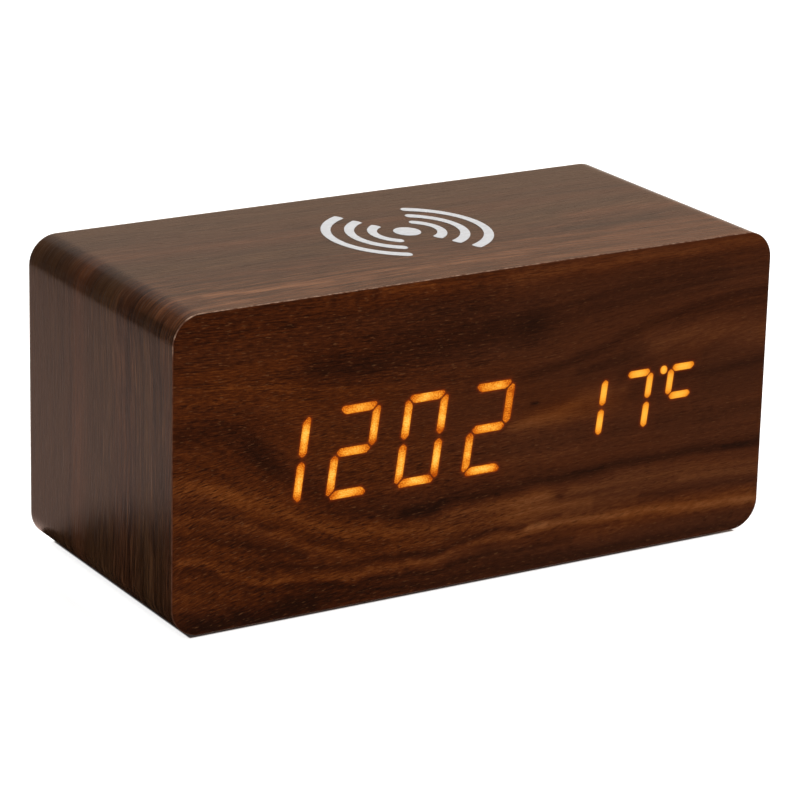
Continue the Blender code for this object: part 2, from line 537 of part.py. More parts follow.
sound_switch_body = box("sound_switch_body", (SWITCH_X - 3.2, SWITCH_X + SWITCH_TRAVEL + 3.2), (REAR_SIDE, SWITCH_TOP), (SWITCH_Z - 2.2, SWITCH_Z + 2.2), STEEL)
cut(sound_switch_body, box("cut_switch_slot", (SWITCH_X - 1.1, SWITCH_X + SWITCH_TRAVEL + 1.1), (SWITCH_TOP - 1.6, SWITCH_TOP + 2), (SWITCH_Z - 1.0, SWITCH_Z + 1.0)))
sound_switch_knob = box("sound_switch_knob", (SWITCH_X - 0.8, SWITCH_X + 0.8), (SWITCH_TOP - 1.2, COVER_Y1 + 0.6), (SWITCH_Z - 0.7, SWITCH_Z + 0.7), BLACK_ABS)
join(sound_switch_knob, box("knob_grip", (SWITCH_X - 1.0, SWITCH_X + 1.0), (COVER_Y0 - 0.8, COVER_Y1 + 0.8), (SWITCH_Z - 1.2, SWITCH_Z + 1.2)))

USB_Y1 = COVER_Y1 - 0.5
usb_shell = box("usb_shell", (USB_X - 4.47, USB_X + 4.47), (REAR_SIDE, USB_Y1), (USB_Z - 1.63, USB_Z + 1.63), STEEL, radius=1.6, segments=6)
cut(usb_shell, box("cut_usb_inside", (USB_X - 4.17, USB_X + 4.17), (REAR_SIDE + 0.4, USB_Y1 + 2), (USB_Z - 1.33, USB_Z + 1.33), radius=1.3, segments=6))
usb_tongue = box("usb_tongue", (USB_X - 3.8, USB_X + 3.8), (REAR_SIDE + 0.7, REAR_SIDE + 3.4), (USB_Z - 1.0, USB_Z + 1.0), CHIP, radius=0.9, segments=4)
join(usb_tongue, box("tongue_blade", (USB_X - 3.3, USB_X + 3.3), (REAR_SIDE + 3.0, USB_Y1 - 0.8), (USB_Z - 0.35, USB_Z + 0.35)))

turned("buzzer", [(0, 2.6), (1.0, 2.6), (1.0, 2.0), (1.3, 2.0), (1.3, 2.6), (4.4, 2.6), (4.8, 2.2), (4.8, -2.6), (0, -2.6)],
       (BUZZER_X, REAR_SIDE + 2.6, BUZZER_Z), "Y", CHIP, steps=16)
turned("microphone", [(0, 1.2), (2.2, 1.2), (2.2, 1.35), (3.0, 1.35), (3.0, -1.35), (0, -1.35)],
       (MIC_X, REAR_SIDE + 1.35, MIC_Z), "Y", STEEL, steps=16)
turned("temperature_sensor", [(0, 2.0), (0.9, 1.6), (1.3, 0.8), (1.3, -0.6), (0.9, -1.6), (0.5, -2.0), (0.5, -2.4), (0, -2.4)],
       (SENSOR_X, REAR_SIDE + 2.4, SENSOR_Z), "Y", CHIP, steps=14)
box("controller_chip", (14.0, 24.0), (FRONT_SIDE - 1.5, FRONT_SIDE), (38.0, 48.0), CHIP)
cylinder("clock_crystal", 1.0, 6.0, (10.0, FRONT_SIDE - 1.0, 34.0), "Z", STEEL, segments=14)
turned("filter_capacitor", [(0, 3.9), (2.9, 3.9), (3.15, 3.6), (3.15, -2.8), (2.85, -3.1), (3.15, -3.4), (3.15, -3.9), (0, -3.9)],
       (50.0, FRONT_SIDE - 3.9, 20.0), "Y", CELL, steps=16)

# ================================================================ charging coil under the top
POCKET_TOP = IN_Z1 + POCKET_H
COIL_Z1 = POCKET_TOP - 0.3
COIL_Z0 = COIL_Z1 - COIL_H
FER_Z1 = COIL_Z0 - 0.3
FER_Z0 = FER_Z1 - FERRITE_H
TRAY_Z1 = IN_Z1 - 0.3
TRAY_IN = FER_Z0 - 0.3
TRAY_Z0 = TRAY_IN - TRAY_FLOOR


def ring_profile(r_in, r_out, z0, z1):
    return [(r_out, z1), (r_out, z0), (r_in, z0), (r_in, z1)]


charging_coil = turned("charging_coil", ring_profile(COIL_R_IN, COIL_R_OUT, -COIL_H / 2, COIL_H / 2),
                       (CHARGE_X, CHARGE_Y, (COIL_Z0 + COIL_Z1) / 2), colour=COPPER, steps=32, ring=True)
ferrite_plate = cylinder("ferrite_plate", FERRITE_R, FERRITE_H, (CHARGE_X, CHARGE_Y, (FER_Z0 + FER_Z1) / 2), colour=FERRITE, segments=40)
turned("coil_thermistor", [(0, 0.5), (1.0, 0.4), (1.3, 0.0), (1.0, -0.4), (0, -0.5)],
       (CHARGE_X, CHARGE_Y, FER_Z1 + 0.9), colour=CHIP, steps=14)
coil_tray = cylinder("coil_tray", TRAY_R, TRAY_Z1 - TRAY_Z0, (CHARGE_X, CHARGE_Y, (TRAY_Z0 + TRAY_Z1) / 2), colour=WHITE_ABS, segments=36)
CHARGER_X = (CHARGE_X - 21.0, CHARGE_X + 21.0)
CHARGER_Y = (CHARGE_Y - 16.0, CHARGE_Y + 16.0)
CHARGER_Z1 = TRAY_Z0 - 5.0
CHARGER_Z0 = CHARGER_Z1 - 1.2
LEGS = [(x, y) for x in (CHARGER_X[0] + 3, CHARGER_X[1] - 3) for y in (CHARGER_Y[0] + 3, CHARGER_Y[1] - 3)]
for i, (x, y) in enumerate(LEGS):
    join(coil_tray, cylinder(f"tray_leg_{i}", 2.2, TRAY_Z0 + 0.5 - CHARGER_Z1 - 0.3, (x, y, (TRAY_Z0 + 0.5 + CHARGER_Z1 + 0.3) / 2), segments=14))
    join(coil_tray, cylinder(f"tray_pin_{i}", 0.9, 4.4, (x, y, CHARGER_Z0 + 0.8), segments=12))
cut(coil_tray, cylinder("cut_tray", FERRITE_R + 0.3, 8.0, (CHARGE_X, CHARGE_Y, TRAY_IN + 4.0), segments=36))
cut(coil_tray, box("cut_tray_notch", (CHARGE_X + 24.8, CHARGE_X + 32.0), (CHARGE_Y - 4.0, CHARGE_Y + 4.0), (TRAY_IN - 0.9, TRAY_Z1 + 3)))

charger_board = box("charger_board", CHARGER_X, CHARGER_Y, (CHARGER_Z0, CHARGER_Z1), PCB_GREEN, radius=1.0, axis=2, segments=2)
for i, (x, y) in enumerate(LEGS):
    cut(charger_board, cylinder(f"cut_charger_hole_{i}", 1.2, 6.0, (x, y, CHARGER_Z0), segments=12))
on_board = CHARGER_Z0 - 0.3                       # parts hang from its underside
box("charger_chip", (CHARGE_X - 3.0, CHARGE_X + 3.0), (CHARGE_Y - 3.0, CHARGE_Y + 3.0), (on_board - 1.0, on_board), CHIP)
box("charger_inductor", (CHARGE_X - 17.0, CHARGE_X - 9.0), (CHARGE_Y - 4.0, CHARGE_Y + 4.0), (on_board - 4.0, on_board), FERRITE, radius=1.2, axis=2, segments=3)
box("resonance_capacitor", (CHARGE_X + 7.0, CHARGE_X + 14.0), (CHARGE_Y - 9.0, CHARGE_Y - 3.0), (on_board - 3.0, on_board), RED, radius=0.8, axis=2, segments=2)

# ================================================================ leads inside the case
# The flat ribbon sags between the two boards.
rib_points = smooth_line([(0, PANEL_Y1 + 2.35, 27.5), (0, PANEL_Y1 + 7.0, 26.8), (0, -8.0, 20.5), (0, 4.0, 20.5),
                          (0, BOARD_Y - 7.5, 26.8), (0, BOARD_Y - 2.55, 27.5)], 4)
bm = bmesh.new()
rows = [[bm.verts.new((x * MM, p[1] * MM, p[2] * MM)) for x in (24.0, 36.0)] for p in rib_points]
for a, b in zip(rows, rows[1:]):
    bm.faces.new((a[0], a[1], b[1], b[0]))
display_ribbon = place("display_ribbon", mesh_from(bm, "display_ribbon"), (0, 0, 0), RIBBON)
solid = display_ribbon.modifiers.new("thickness", "SOLIDIFY")
solid.thickness = 0.4 * MM
solid.offset = 0.0

def coil_lead(name, dy):
    """A lead leaves the winding's rim, drops through the notch in the tray and meets the edge of the charger board."""
    path = [(22.4, COIL_Z0 + 0.6), (24.0, COIL_Z0 + 0.65), (25.4, COIL_Z0 + 0.2), (25.7, COIL_Z0 - 0.75), (26.4, TRAY_IN + 0.45),
            (28.6, TRAY_IN - 0.05), (29.3, TRAY_Z0 - 0.4), (28.6, CHARGER_Z1 + 1.6), (25.5, CHARGER_Z1 - 0.3), (21.4, CHARGER_Z1 - 0.6)]
    points = [(CHARGE_X + x, CHARGE_Y + dy, z) for x, z in path]
    return tube(name, smooth_line(points, 3), 0.5, COPPER)


coil_lead("coil_lead_inner", -2.0)
coil_lead("coil_lead_outer", 2.0)
BEHIND = BOARD_Y - 0.4                            # just short of the main board's front face
tube("charger_cable", smooth_line([(12.0, 11.7, CHARGER_Z0 - 0.35), (12.0, 11.7, 53.5), (16.0, 12.5, 50.0), (28.0, 14.5, 46.5),
                                   (32.0, 16.5, 42.5), (32.5, BEHIND, 41.0)], 4), 0.9, BLACK)
tube("battery_wire_red", smooth_line([(TUB_X1 + TUB_WALL + 0.9, CELL_Y, CELL_Z[2]), (TUB_X1 + TUB_WALL + 3.5, CELL_Y - 1.5, CELL_Z[2] - 1.5),
                                      (-3.5, 16.0, 38.0), (2.0, 15.5, 31.0), (6.5, 16.4, 28.0), (7.0, BEHIND, 29.0)], 4), 0.6, RED)
tube("battery_wire_black", smooth_line([(TUB_X0 - TUB_WALL - 0.9, CELL_Y, CELL_Z[0]), (TUB_X0 - TUB_WALL - 1.6, CELL_Y - 4.5, CELL_Z[0] - 1.0),
                                        (TUB_X0 - 1.0, 13.8, 14.0), (-40.0, 12.8, 9.5), (-20.0, 13.3, 9.0), (-3.0, 15.3, 11.0),
                                        (4.0, 16.4, 16.0), (7.5, BEHIND, 19.0)], 4), 0.6, BLACK)
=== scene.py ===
"""The looks of the wireless charging desk clock: finish of every surface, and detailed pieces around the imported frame.

Lengths in the helper calls are in millimetres, in the frame of the CAD: width along X, display facing -Y, +Z up.
"""

import math

import bmesh
import bpy
import numpy as np
from mathutils import Matrix, Vector


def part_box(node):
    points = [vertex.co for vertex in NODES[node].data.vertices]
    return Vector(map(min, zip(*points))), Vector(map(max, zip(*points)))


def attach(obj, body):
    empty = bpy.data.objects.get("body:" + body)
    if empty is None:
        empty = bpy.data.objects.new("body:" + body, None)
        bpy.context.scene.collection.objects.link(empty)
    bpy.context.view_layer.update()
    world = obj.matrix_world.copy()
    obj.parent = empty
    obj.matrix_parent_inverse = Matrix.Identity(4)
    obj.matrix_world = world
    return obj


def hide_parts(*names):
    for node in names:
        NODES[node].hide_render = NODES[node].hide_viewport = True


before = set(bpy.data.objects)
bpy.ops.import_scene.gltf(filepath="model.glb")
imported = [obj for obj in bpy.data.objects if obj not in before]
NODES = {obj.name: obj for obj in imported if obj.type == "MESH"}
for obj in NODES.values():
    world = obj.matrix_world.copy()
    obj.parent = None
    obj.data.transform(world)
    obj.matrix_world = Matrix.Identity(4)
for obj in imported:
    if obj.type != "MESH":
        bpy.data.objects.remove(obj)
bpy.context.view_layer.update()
MM = 0.001


def box_mm(node):
    low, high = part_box(node)
    return [v / MM for v in low], [v / MM for v in high]


# ---------------------------------------------------------------- sizes taken from the frame (mm)
(WX0, _, WZ0), (WX1, WY1, WZ1) = box_mm("wrap_film")
(FX0, FY0, FZ0), (FX1, FY1, FZ1) = box_mm("front_film")
(CX0, CY0, CZ0), (CX1, CY1, CZ1) = box_mm("rear_cover")
(DX0, DY0, DZ0), (DX1, DY1, DZ1) = box_mm("battery_door")
CORNER_R = 6.6
COVER_Y1, COVER_T = CY1, 2.5
X_MID, Z_MID = (WX0 + WX1) / 2, (WZ0 + WZ1) / 2
HALF_W, HALF_H = (WX1 - WX0) / 2, (WZ1 - WZ0) / 2
SKIN_IN = 0.05                     # film surface kept this far inside the box, for the printed mark on it


# ================================================================ mesh helpers
def place(name, mesh, body=None, replaces=(), smooth=35, materials=(), even=False):
    """A new piece: its mesh, what it rides on, its finish's slot and the nodes it stands for."""
    mesh.name = name
    for m in materials:
        mesh.materials.append(m)
    if smooth is not None:
        mesh.shade_smooth()
        if smooth < 180:
            mesh.set_sharp_from_angle(angle=math.radians(smooth))
    ob = bpy.data.objects.new(name, mesh)
    bpy.context.scene.collection.objects.link(ob)
    if even:
        # Large flat faces keep their own normal beside rounded edges.
        mod = ob.modifiers.new("even_shading", "WEIGHTED_NORMAL")
        mod.keep_sharp, mod.weight = True, 100
    if body:
        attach(ob, body)
    if replaces:
        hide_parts(*replaces)
    return ob


def mesh_from(verts, faces, name="piece", slots=None):
    """A mesh from points in millimetres."""
    mesh = bpy.data.meshes.new(name)
    mesh.from_pydata([tuple(c * MM for c in v) for v in verts], [], faces)
    if slots is not None:
        mesh.polygons.foreach_set("material_index", slots)
    mesh.update()
    return mesh


def join_meshes(parts, name="piece"):
    """Several meshes as one, each with the material slot given beside it."""
    bm = bmesh.new()
    for mesh, slot in parts:
        before = len(bm.faces)
        bm.from_mesh(mesh)
        bm.faces.ensure_lookup_table()
        for f in bm.faces[before:]:
            f.material_index = slot
    out = bpy.data.meshes.new(name)
    bm.to_mesh(out)
    bm.free()
    return out


def face_out(mesh):
    bm = bmesh.new()
    bm.from_mesh(mesh)
    bmesh.ops.recalc_face_normals(bm, faces=bm.faces)
    bm.to_mesh(mesh)
    bm.free()
    return mesh


def round_rect(x0, x1, z0, z1, r, n=8):
    """Outline in X and Z, counterclockwise as seen from the front."""
    r = max(r, 1e-4)
    pts = []
    for cx, cz, a0 in ((x1 - r, z0 + r, -90), (x1 - r, z1 - r, 0), (x0 + r, z1 - r, 90), (x0 + r, z0 + r, 180)):
        for i in range(n + 1):
            a = math.radians(a0 + 90 * i / n)
            pts.append((cx + r * math.cos(a), cz + r * math.sin(a)))
    return pts


def circle(x, z, r, n=48):
    return [(x + r * math.cos(2 * math.pi * i / n), z + r * math.sin(2 * math.pi * i / n)) for i in range(n)]


def rounded_polygon(points, radius, n=4):
    """A convex outline with its corners rounded."""
    out = []
    count = len(points)
    for i in range(count):
        p0, p1, p2 = Vector(points[i - 1]), Vector(points[i]), Vector(points[(i + 1) % count])
        a, b = (p0 - p1), (p2 - p1)
        la, lb = a.length, b.length
        if la < 1e-6 or lb < 1e-6:
            continue
        a, b = a / la, b / lb
        half = math.acos(max(-1, min(1, a.dot(b)))) / 2
        if half > math.radians(88):
            out.append(tuple(p1))
            continue
        d = min(radius / math.tan(half), la * 0.48, lb * 0.48)
        s, e = p1 + a * d, p1 + b * d
        for k in range(n + 1):
            t = k / n
            q = s.lerp(p1, t).lerp(p1.lerp(e, t), t)
            out.append(tuple(q))
    return out


def plate(outlines, y0, y1, bevel=0.2, res=2):
    """A flat piece standing in X and Z from y0 to y1: the first outline is its edge, the others are holes. Its edges are rounded."""
    curve = bpy.data.curves.new("plate", "CURVE")
    curve.dimensions = "2D"
    curve.fill_mode = "BOTH"
    curve.extrude = ((y1 - y0) / 2 - bevel) * MM
    curve.bevel_depth = bevel * MM
    curve.bevel_resolution = res
    curve.offset = -bevel * MM
    for i, outline in enumerate(outlines):
        pts = outline if i == 0 else outline[::-1]
        spline = curve.splines.new("POLY")
        spline.points.add(len(pts) - 1)
        for p, (x, z) in zip(spline.points, pts):
            p.co = (x * MM, z * MM, 0.0, 1.0)
        spline.use_cyclic_u = True
    ob = bpy.data.objects.new("plate", curve)
    bpy.context.scene.collection.objects.link(ob)
    mesh = bpy.data.meshes.new_from_object(ob.evaluated_get(bpy.context.evaluated_depsgraph_get()))
    bpy.data.objects.remove(ob)
    bpy.data.curves.remove(curve)
    mesh.materials.clear()
    mesh.transform(Matrix(((1, 0, 0, 0), (0, 0, -1, (y0 + y1) / 2 * MM), (0, 1, 0, 0), (0, 0, 0, 1))))
    bm = bmesh.new()
    bm.from_mesh(mesh)
    bmesh.ops.remove_doubles(bm, verts=bm.verts, dist=2e-6)
    bmesh.ops.recalc_face_normals(bm, faces=bm.faces)
    bm.to_mesh(mesh)
    bm.free()
    return mesh


def turned(profile, at, axis="Y", steps=64):
    """A turned solid: (radius, height) points run from its top to its bottom, on the axis at a point."""
    verts, rings = [], []
    for r, h in profile:
        if r < 1e-6:
            rings.append([len(verts)])
            verts.append((0.0, 0.0, h))
        else:
            ring = []
            for i in range(steps):
                a = 2 * math.pi * i / steps
                ring.append(len(verts))
                verts.append((r * math.cos(a), r * math.sin(a), h))
            rings.append(ring)
    faces = []
    for a, b in zip(rings, rings[1:]):
        for i in range(steps):
            j = (i + 1) % steps
            if len(a) == 1 and len(b) == 1:
                break
            if len(a) == 1:
                faces.append((a[0], b[i], b[j]))
            elif len(b) == 1:
                faces.append((a[i], b[0], a[j]))
            else:
                faces.append((a[i], b[i], b[j], a[j]))
    x0, y0, z0 = at
    if axis == "Y":
        verts = [(x0 + x, y0 + z, z0 - y) for x, y, z in verts]
    elif axis == "X":
        verts = [(x0 + z, y0 + x, z0 + y) for x, y, z in verts]
    elif axis == "-X":
        verts = [(x0 - z, y0 - x, z0 + y) for x, y, z in verts]
    else:
        verts = [(x0 + x, y0 + y, z0 + z) for x, y, z in verts]
    return face_out(mesh_from(verts, faces))


def arc_profile(points, radius, n=4):
    """A profile whose inner corners are rounded; its first and last points stay."""
    out = [points[0]]
    for p0, p1, p2 in zip(points, points[1:], points[2:]):
        a, b = Vector(p0) - Vector(p1), Vector(p2) - Vector(p1)
        d = min(radius, a.length * 0.45, b.length * 0.45)
        s, e = Vector(p1) + a.normalized() * d, Vector(p1) + b.normalized() * d
        for k in range(n + 1):
            t = k / n
            out.append(tuple(s.lerp(Vector(p1), t).lerp(Vector(p1).lerp(e, t), t)))
    out.append(points[-1])
    return out


def block(x, y, z, bevel=0.2, segments=2):
    """A box with all its edges rounded."""
    bm = bmesh.new()
    bmesh.ops.create_cube(bm, size=1.0)
    bmesh.ops.scale(bm, vec=Vector((x[1] - x[0], y[1] - y[0], z[1] - z[0])) * MM, verts=bm.verts)
    bmesh.ops.translate(bm, vec=Vector(((x[0] + x[1]) / 2, (y[0] + y[1]) / 2, (z[0] + z[1]) / 2)) * MM, verts=bm.verts)
    if bevel:
        bmesh.ops.bevel(bm, geom=bm.edges[:], offset=bevel * MM, segments=segments, profile=0.5, affect="EDGES")
    mesh = bpy.data.meshes.new("block")
    bm.to_mesh(mesh)
    bm.free()
    return mesh


def wire(points, radius, sides=10):
    """A round wire along a line of points, with closed ends."""
    pts = [Vector(p) for p in points]
    verts, faces = [], []
    tangent = (pts[1] - pts[0]).normalized()
    normal = tangent.orthogonal().normalized()
    for i, p in enumerate(pts):
        t = (pts[min(i + 1, len(pts) - 1)] - pts[max(i - 1, 0)]).normalized()
        normal = (normal - t * normal.dot(t)).normalized()
        side = t.cross(normal)
        for k in range(sides):
            a = 2 * math.pi * k / sides
            verts.append(tuple(p + radius * (normal * math.cos(a) + side * math.sin(a))))
    for i in range(len(pts) - 1):
        for k in range(sides):
            j = (k + 1) % sides
            faces.append((i * sides + k, i * sides + j, (i + 1) * sides + j, (i + 1) * sides + k))
    faces.append(tuple(range(sides))[::-1])
    last = (len(pts) - 1) * sides
    faces.append(tuple(last + k for k in range(sides)))
    return face_out(mesh_from(verts, faces))


def boolean(mesh, tools, operation="DIFFERENCE"):
    """The mesh with other meshes cut out of it or joined on."""
    ob = bpy.data.objects.new("base", mesh)
    bpy.context.scene.collection.objects.link(ob)
    helpers = []
    for tool in tools:
        t = bpy.data.objects.new("tool", tool)
        bpy.context.scene.collection.objects.link(t)
        helpers.append(t)
        mod = ob.modifiers.new("cut", "BOOLEAN")
        mod.operation, mod.solver, mod.object = operation, "EXACT", t
    result = bpy.data.meshes.new_from_object(ob.evaluated_get(bpy.context.evaluated_depsgraph_get()))
    for o in [ob, *helpers]:
        bpy.data.objects.remove(o)
    return result


# ================================================================ material helpers
class Finish:
    """A node material, built up from a few kinds of node."""

    def __init__(self, name, **plain):
        self.mat = bpy.data.materials.new(name)
        self.mat.use_nodes = True
        self.tree = self.mat.node_tree
        self.tree.nodes.clear()
        self.out = self.tree.nodes.new("ShaderNodeOutputMaterial")
        self.shader = self.tree.nodes.new("ShaderNodeBsdfPrincipled")
        self.tree.links.new(self.shader.outputs[0], self.out.inputs[0])
        for key, value in plain.items():
            self.set(key.replace("_", " ").replace("IOR Level", "IOR Level"), value)

    def set(self, socket, value):
        """Sets a socket of the shader to a number, a colour or another node's output."""
        target = self.shader.inputs[socket]
        if isinstance(value, bpy.types.NodeSocket):
            self.tree.links.new(value, target)
        elif isinstance(value, (tuple, list)):
            target.default_value = (*value, 1.0) if len(value) == 3 and len(target.default_value) == 4 else value
        else:
            target.default_value = value
        return self

    def node(self, kind, **props):
        n = self.tree.nodes.new(kind)
        for key, value in props.items():
            setattr(n, key, value)
        return n

    def plug(self, value, socket):
        if isinstance(value, bpy.types.NodeSocket):
            self.tree.links.new(value, socket)
        elif isinstance(value, (tuple, list)):
            socket.default_value = (*value, 1.0) if len(value) == 3 and len(socket.default_value) == 4 else value
        else:
            socket.default_value = value

    def math(self, operation, a, b=0.0, c=0.0, clamp=False):
        n = self.node("ShaderNodeMath", operation=operation, use_clamp=clamp)
        for value, socket in zip((a, b, c), n.inputs):
            self.plug(value, socket)
        return n.outputs[0]

    def add(self, *values):
        total = values[0]
        for v in values[1:]:
            total = self.math("ADD", total, v)
        return total

    def times(self, a, b):
        return self.math("MULTIPLY", a, b)

    def band(self, value, low, high, to_low=0.0, to_high=1.0, smooth=True):
        n = self.node("ShaderNodeMapRange", interpolation_type="SMOOTHSTEP" if smooth else "LINEAR")
        n.clamp = True
        for v, key in ((value, 0), (low, 1), (high, 2), (to_low, 3), (to_high, 4)):
            self.plug(v, n.inputs[key])
        return n.outputs[0]

    def uv(self, name):
        return self.node("ShaderNodeUVMap", uv_map=name).outputs[0]

    def place(self):
        """Where a point of the piece is, in millimetres."""
        coords = self.node("ShaderNodeTexCoord").outputs["Object"]
        return self.scaled(coords, (1000.0, 1000.0, 1000.0))

    def attribute(self, name):
        return self.node("ShaderNodeAttribute", attribute_name=name).outputs["Fac"]

    def scaled(self, vector, scale, location=(0.0, 0.0, 0.0), rotation=(0.0, 0.0, 0.0)):
        n = self.node("ShaderNodeMapping")
        self.plug(vector, n.inputs["Vector"])
        n.inputs["Scale"].default_value = scale
        n.inputs["Location"].default_value = location
        n.inputs["Rotation"].default_value = rotation
        return n.outputs[0]

    def split(self, vector):
        n = self.node("ShaderNodeSeparateXYZ")
        self.plug(vector, n.inputs[0])
        return n.outputs[0], n.outputs[1], n.outputs[2]

    def joined(self, x, y, z=0.0):
        n = self.node("ShaderNodeCombineXYZ")
        for v, s in zip((x, y, z), n.inputs):
            self.plug(v, s)
        return n.outputs[0]

    def noise(self, vector, scale=1.0, detail=2.0, rough=0.5, distortion=0.0, colour=False):
        n = self.node("ShaderNodeTexNoise", noise_dimensions="3D")
        self.plug(vector, n.inputs["Vector"])
        n.inputs["Scale"].default_value = scale
        n.inputs["Detail"].default_value = detail
        n.inputs["Roughness"].default_value = rough
        n.inputs["Distortion"].default_value = distortion
        return n.outputs["Color" if colour else "Fac"]

    def cells(self, vector, scale=1.0, feature="F1", randomness=1.0, output="Distance"):
        n = self.node("ShaderNodeTexVoronoi", feature=feature)
        self.plug(vector, n.inputs["Vector"])
        n.inputs["Scale"].default_value = scale
        n.inputs["Randomness"].default_value = randomness
        return n.outputs[output]

    def ramp(self, value, stops, interpolation="LINEAR"):
        n = self.node("ShaderNodeValToRGB")
        self.plug(value, n.inputs[0])
        ramp = n.color_ramp
        ramp.interpolation = interpolation
        while len(ramp.elements) < len(stops):
            ramp.elements.new(0.5)
        for e, (at, colour) in zip(ramp.elements, stops):
            e.position = at
            e.color = (*colour, 1.0)
        return n.outputs[0]

    def mix(self, factor, a, b, blend="MIX"):
        n = self.node("ShaderNodeMix", data_type="RGBA", blend_type=blend)
        self.plug(factor, n.inputs[0])
        self.plug(a, n.inputs[6])
        self.plug(b, n.inputs[7])
        return n.outputs[2]

    def bump(self, height, distance, strength=1.0):
        """A bump, its depth in millimetres."""
        n = self.node("ShaderNodeBump")
        n.inputs["Strength"].default_value = strength
        n.inputs["Distance"].default_value = distance * MM
        self.plug(height, n.inputs["Height"])
        self.set("Normal", n.outputs[0])
        return n.outputs[0]


# ================================================================ wood-look films
def front_wood():
    f = Finish("walnut_film_front")
    figure, pores = f.uv("figure"), f.uv("pores")
    tone, warm, glow = f.attribute("tone"), f.attribute("warm"), f.attribute("glow")
    broad = f.noise(f.scaled(figure, (0.011, 0.17, 1.0)), 1.0, 3.0, 0.55)
    bands = f.noise(f.scaled(figure, (0.02, 0.55, 1.0), (7.3, 2.1, 0.0)), 1.0, 3.0, 0.6)
    streak = f.noise(f.scaled(pores, (0.10, 1.35, 1.0), (3.1, 9.7, 0.0)), 1.0, 3.0, 0.62)
    fine = f.noise(f.scaled(pores, (0.50, 2.7, 1.0), (1.7, 4.4, 0.0)), 1.0, 2.0, 0.62)
    # The grain is coarse on the left and fades to the right.
    u, _, _ = f.split(figure)
    coarse = f.band(u, 45.0, 110.0, 1.0, 0.45)
    value = f.add(
        0.452,
        f.times(tone, 0.30),
        f.times(f.add(broad, -0.5), 0.42),
        f.times(f.add(bands, -0.5), 0.30),
        f.times(f.add(streak, -0.5), 0.26),
        f.times(f.times(f.add(fine, -0.5), 0.95), coarse),
    )
    reddish = f.ramp(value, [(0.0, (0.012, 0.0028, 0.0007)), (0.30, (0.030, 0.0062, 0.0012)), (0.55, (0.062, 0.0135, 0.0022)),
                             (0.78, (0.115, 0.030, 0.0050)), (1.0, (0.19, 0.062, 0.014))])
    cooler = f.ramp(value, [(0.0, (0.013, 0.0038, 0.0014)), (0.30, (0.029, 0.0078, 0.0026)), (0.55, (0.055, 0.0150, 0.0048)),
                            (0.78, (0.092, 0.029, 0.0086)), (1.0, (0.15, 0.056, 0.020))])
    hue = f.noise(f.scaled(figure, (0.02, 0.12, 1.0), (11.0, 5.0, 0.0)), 1.0, 2.0, 0.5)
    colour = f.mix(f.math("ADD", warm, f.times(f.add(hue, -0.5), 1.2), clamp=True), cooler, reddish)
    # Pores are short dark dashes along the grain, with a few pale flecks.
    long = f.band(f.noise(f.scaled(pores, (0.15, 3.0, 1.0), (8.5, 3.2, 0.0)), 1.0, 1.0, 0.5), 0.56, 0.64)
    short = f.band(f.noise(f.scaled(pores, (0.42, 2.4, 1.0), (5.5, 1.2, 0.0)), 1.0, 1.0, 0.5), 0.57, 0.66)
    _, rank, _ = f.split(figure)
    high = f.band(rank, 34.0, 48.0)
    pore = f.math("MAXIMUM", f.times(long, high), f.times(short, f.add(1.0, f.times(high, -0.75))))
    thick = f.band(f.noise(f.scaled(figure, (0.03, 0.09, 1.0), (2.0, 8.0, 0.0)), 1.0, 1.0, 0.5), 0.30, 0.58)
    colour = f.mix(f.times(pore, f.times(f.times(thick, coarse), 0.72)), colour, (0.009, 0.0022, 0.0008))
    fleck = f.band(f.noise(f.scaled(pores, (0.55, 2.6, 1.0), (15.5, 21.2, 0.0)), 1.0, 1.0, 0.5), 0.62, 0.76)
    colour = f.mix(f.times(fleck, f.times(coarse, 0.35)), colour, (0.17, 0.070, 0.026))
    f.set("Base Color", colour)
    f.set("Roughness", f.band(f.add(fine, f.times(pore, -0.25)), 0.2, 0.8, 0.66, 0.52, smooth=False))
    f.set("IOR", 1.45)
    f.set("Specular IOR Level", 0.02)
    f.bump(f.add(f.times(pore, -0.8), f.times(streak, 0.8), f.times(fine, 0.7)), 0.03, 0.6)
    # Light from the lit bars spreads a little way through the film.
    f.set("Emission Color", f.ramp(glow, [(0.0, (0.0, 0.0, 0.0)), (0.25, (0.012, 0.0012, 0.0)), (0.6, (0.06, 0.006, 0.0002)), (1.0, (0.16, 0.018, 0.0005))]))
    f.set("Emission Strength", 1.0)
    return f.mat


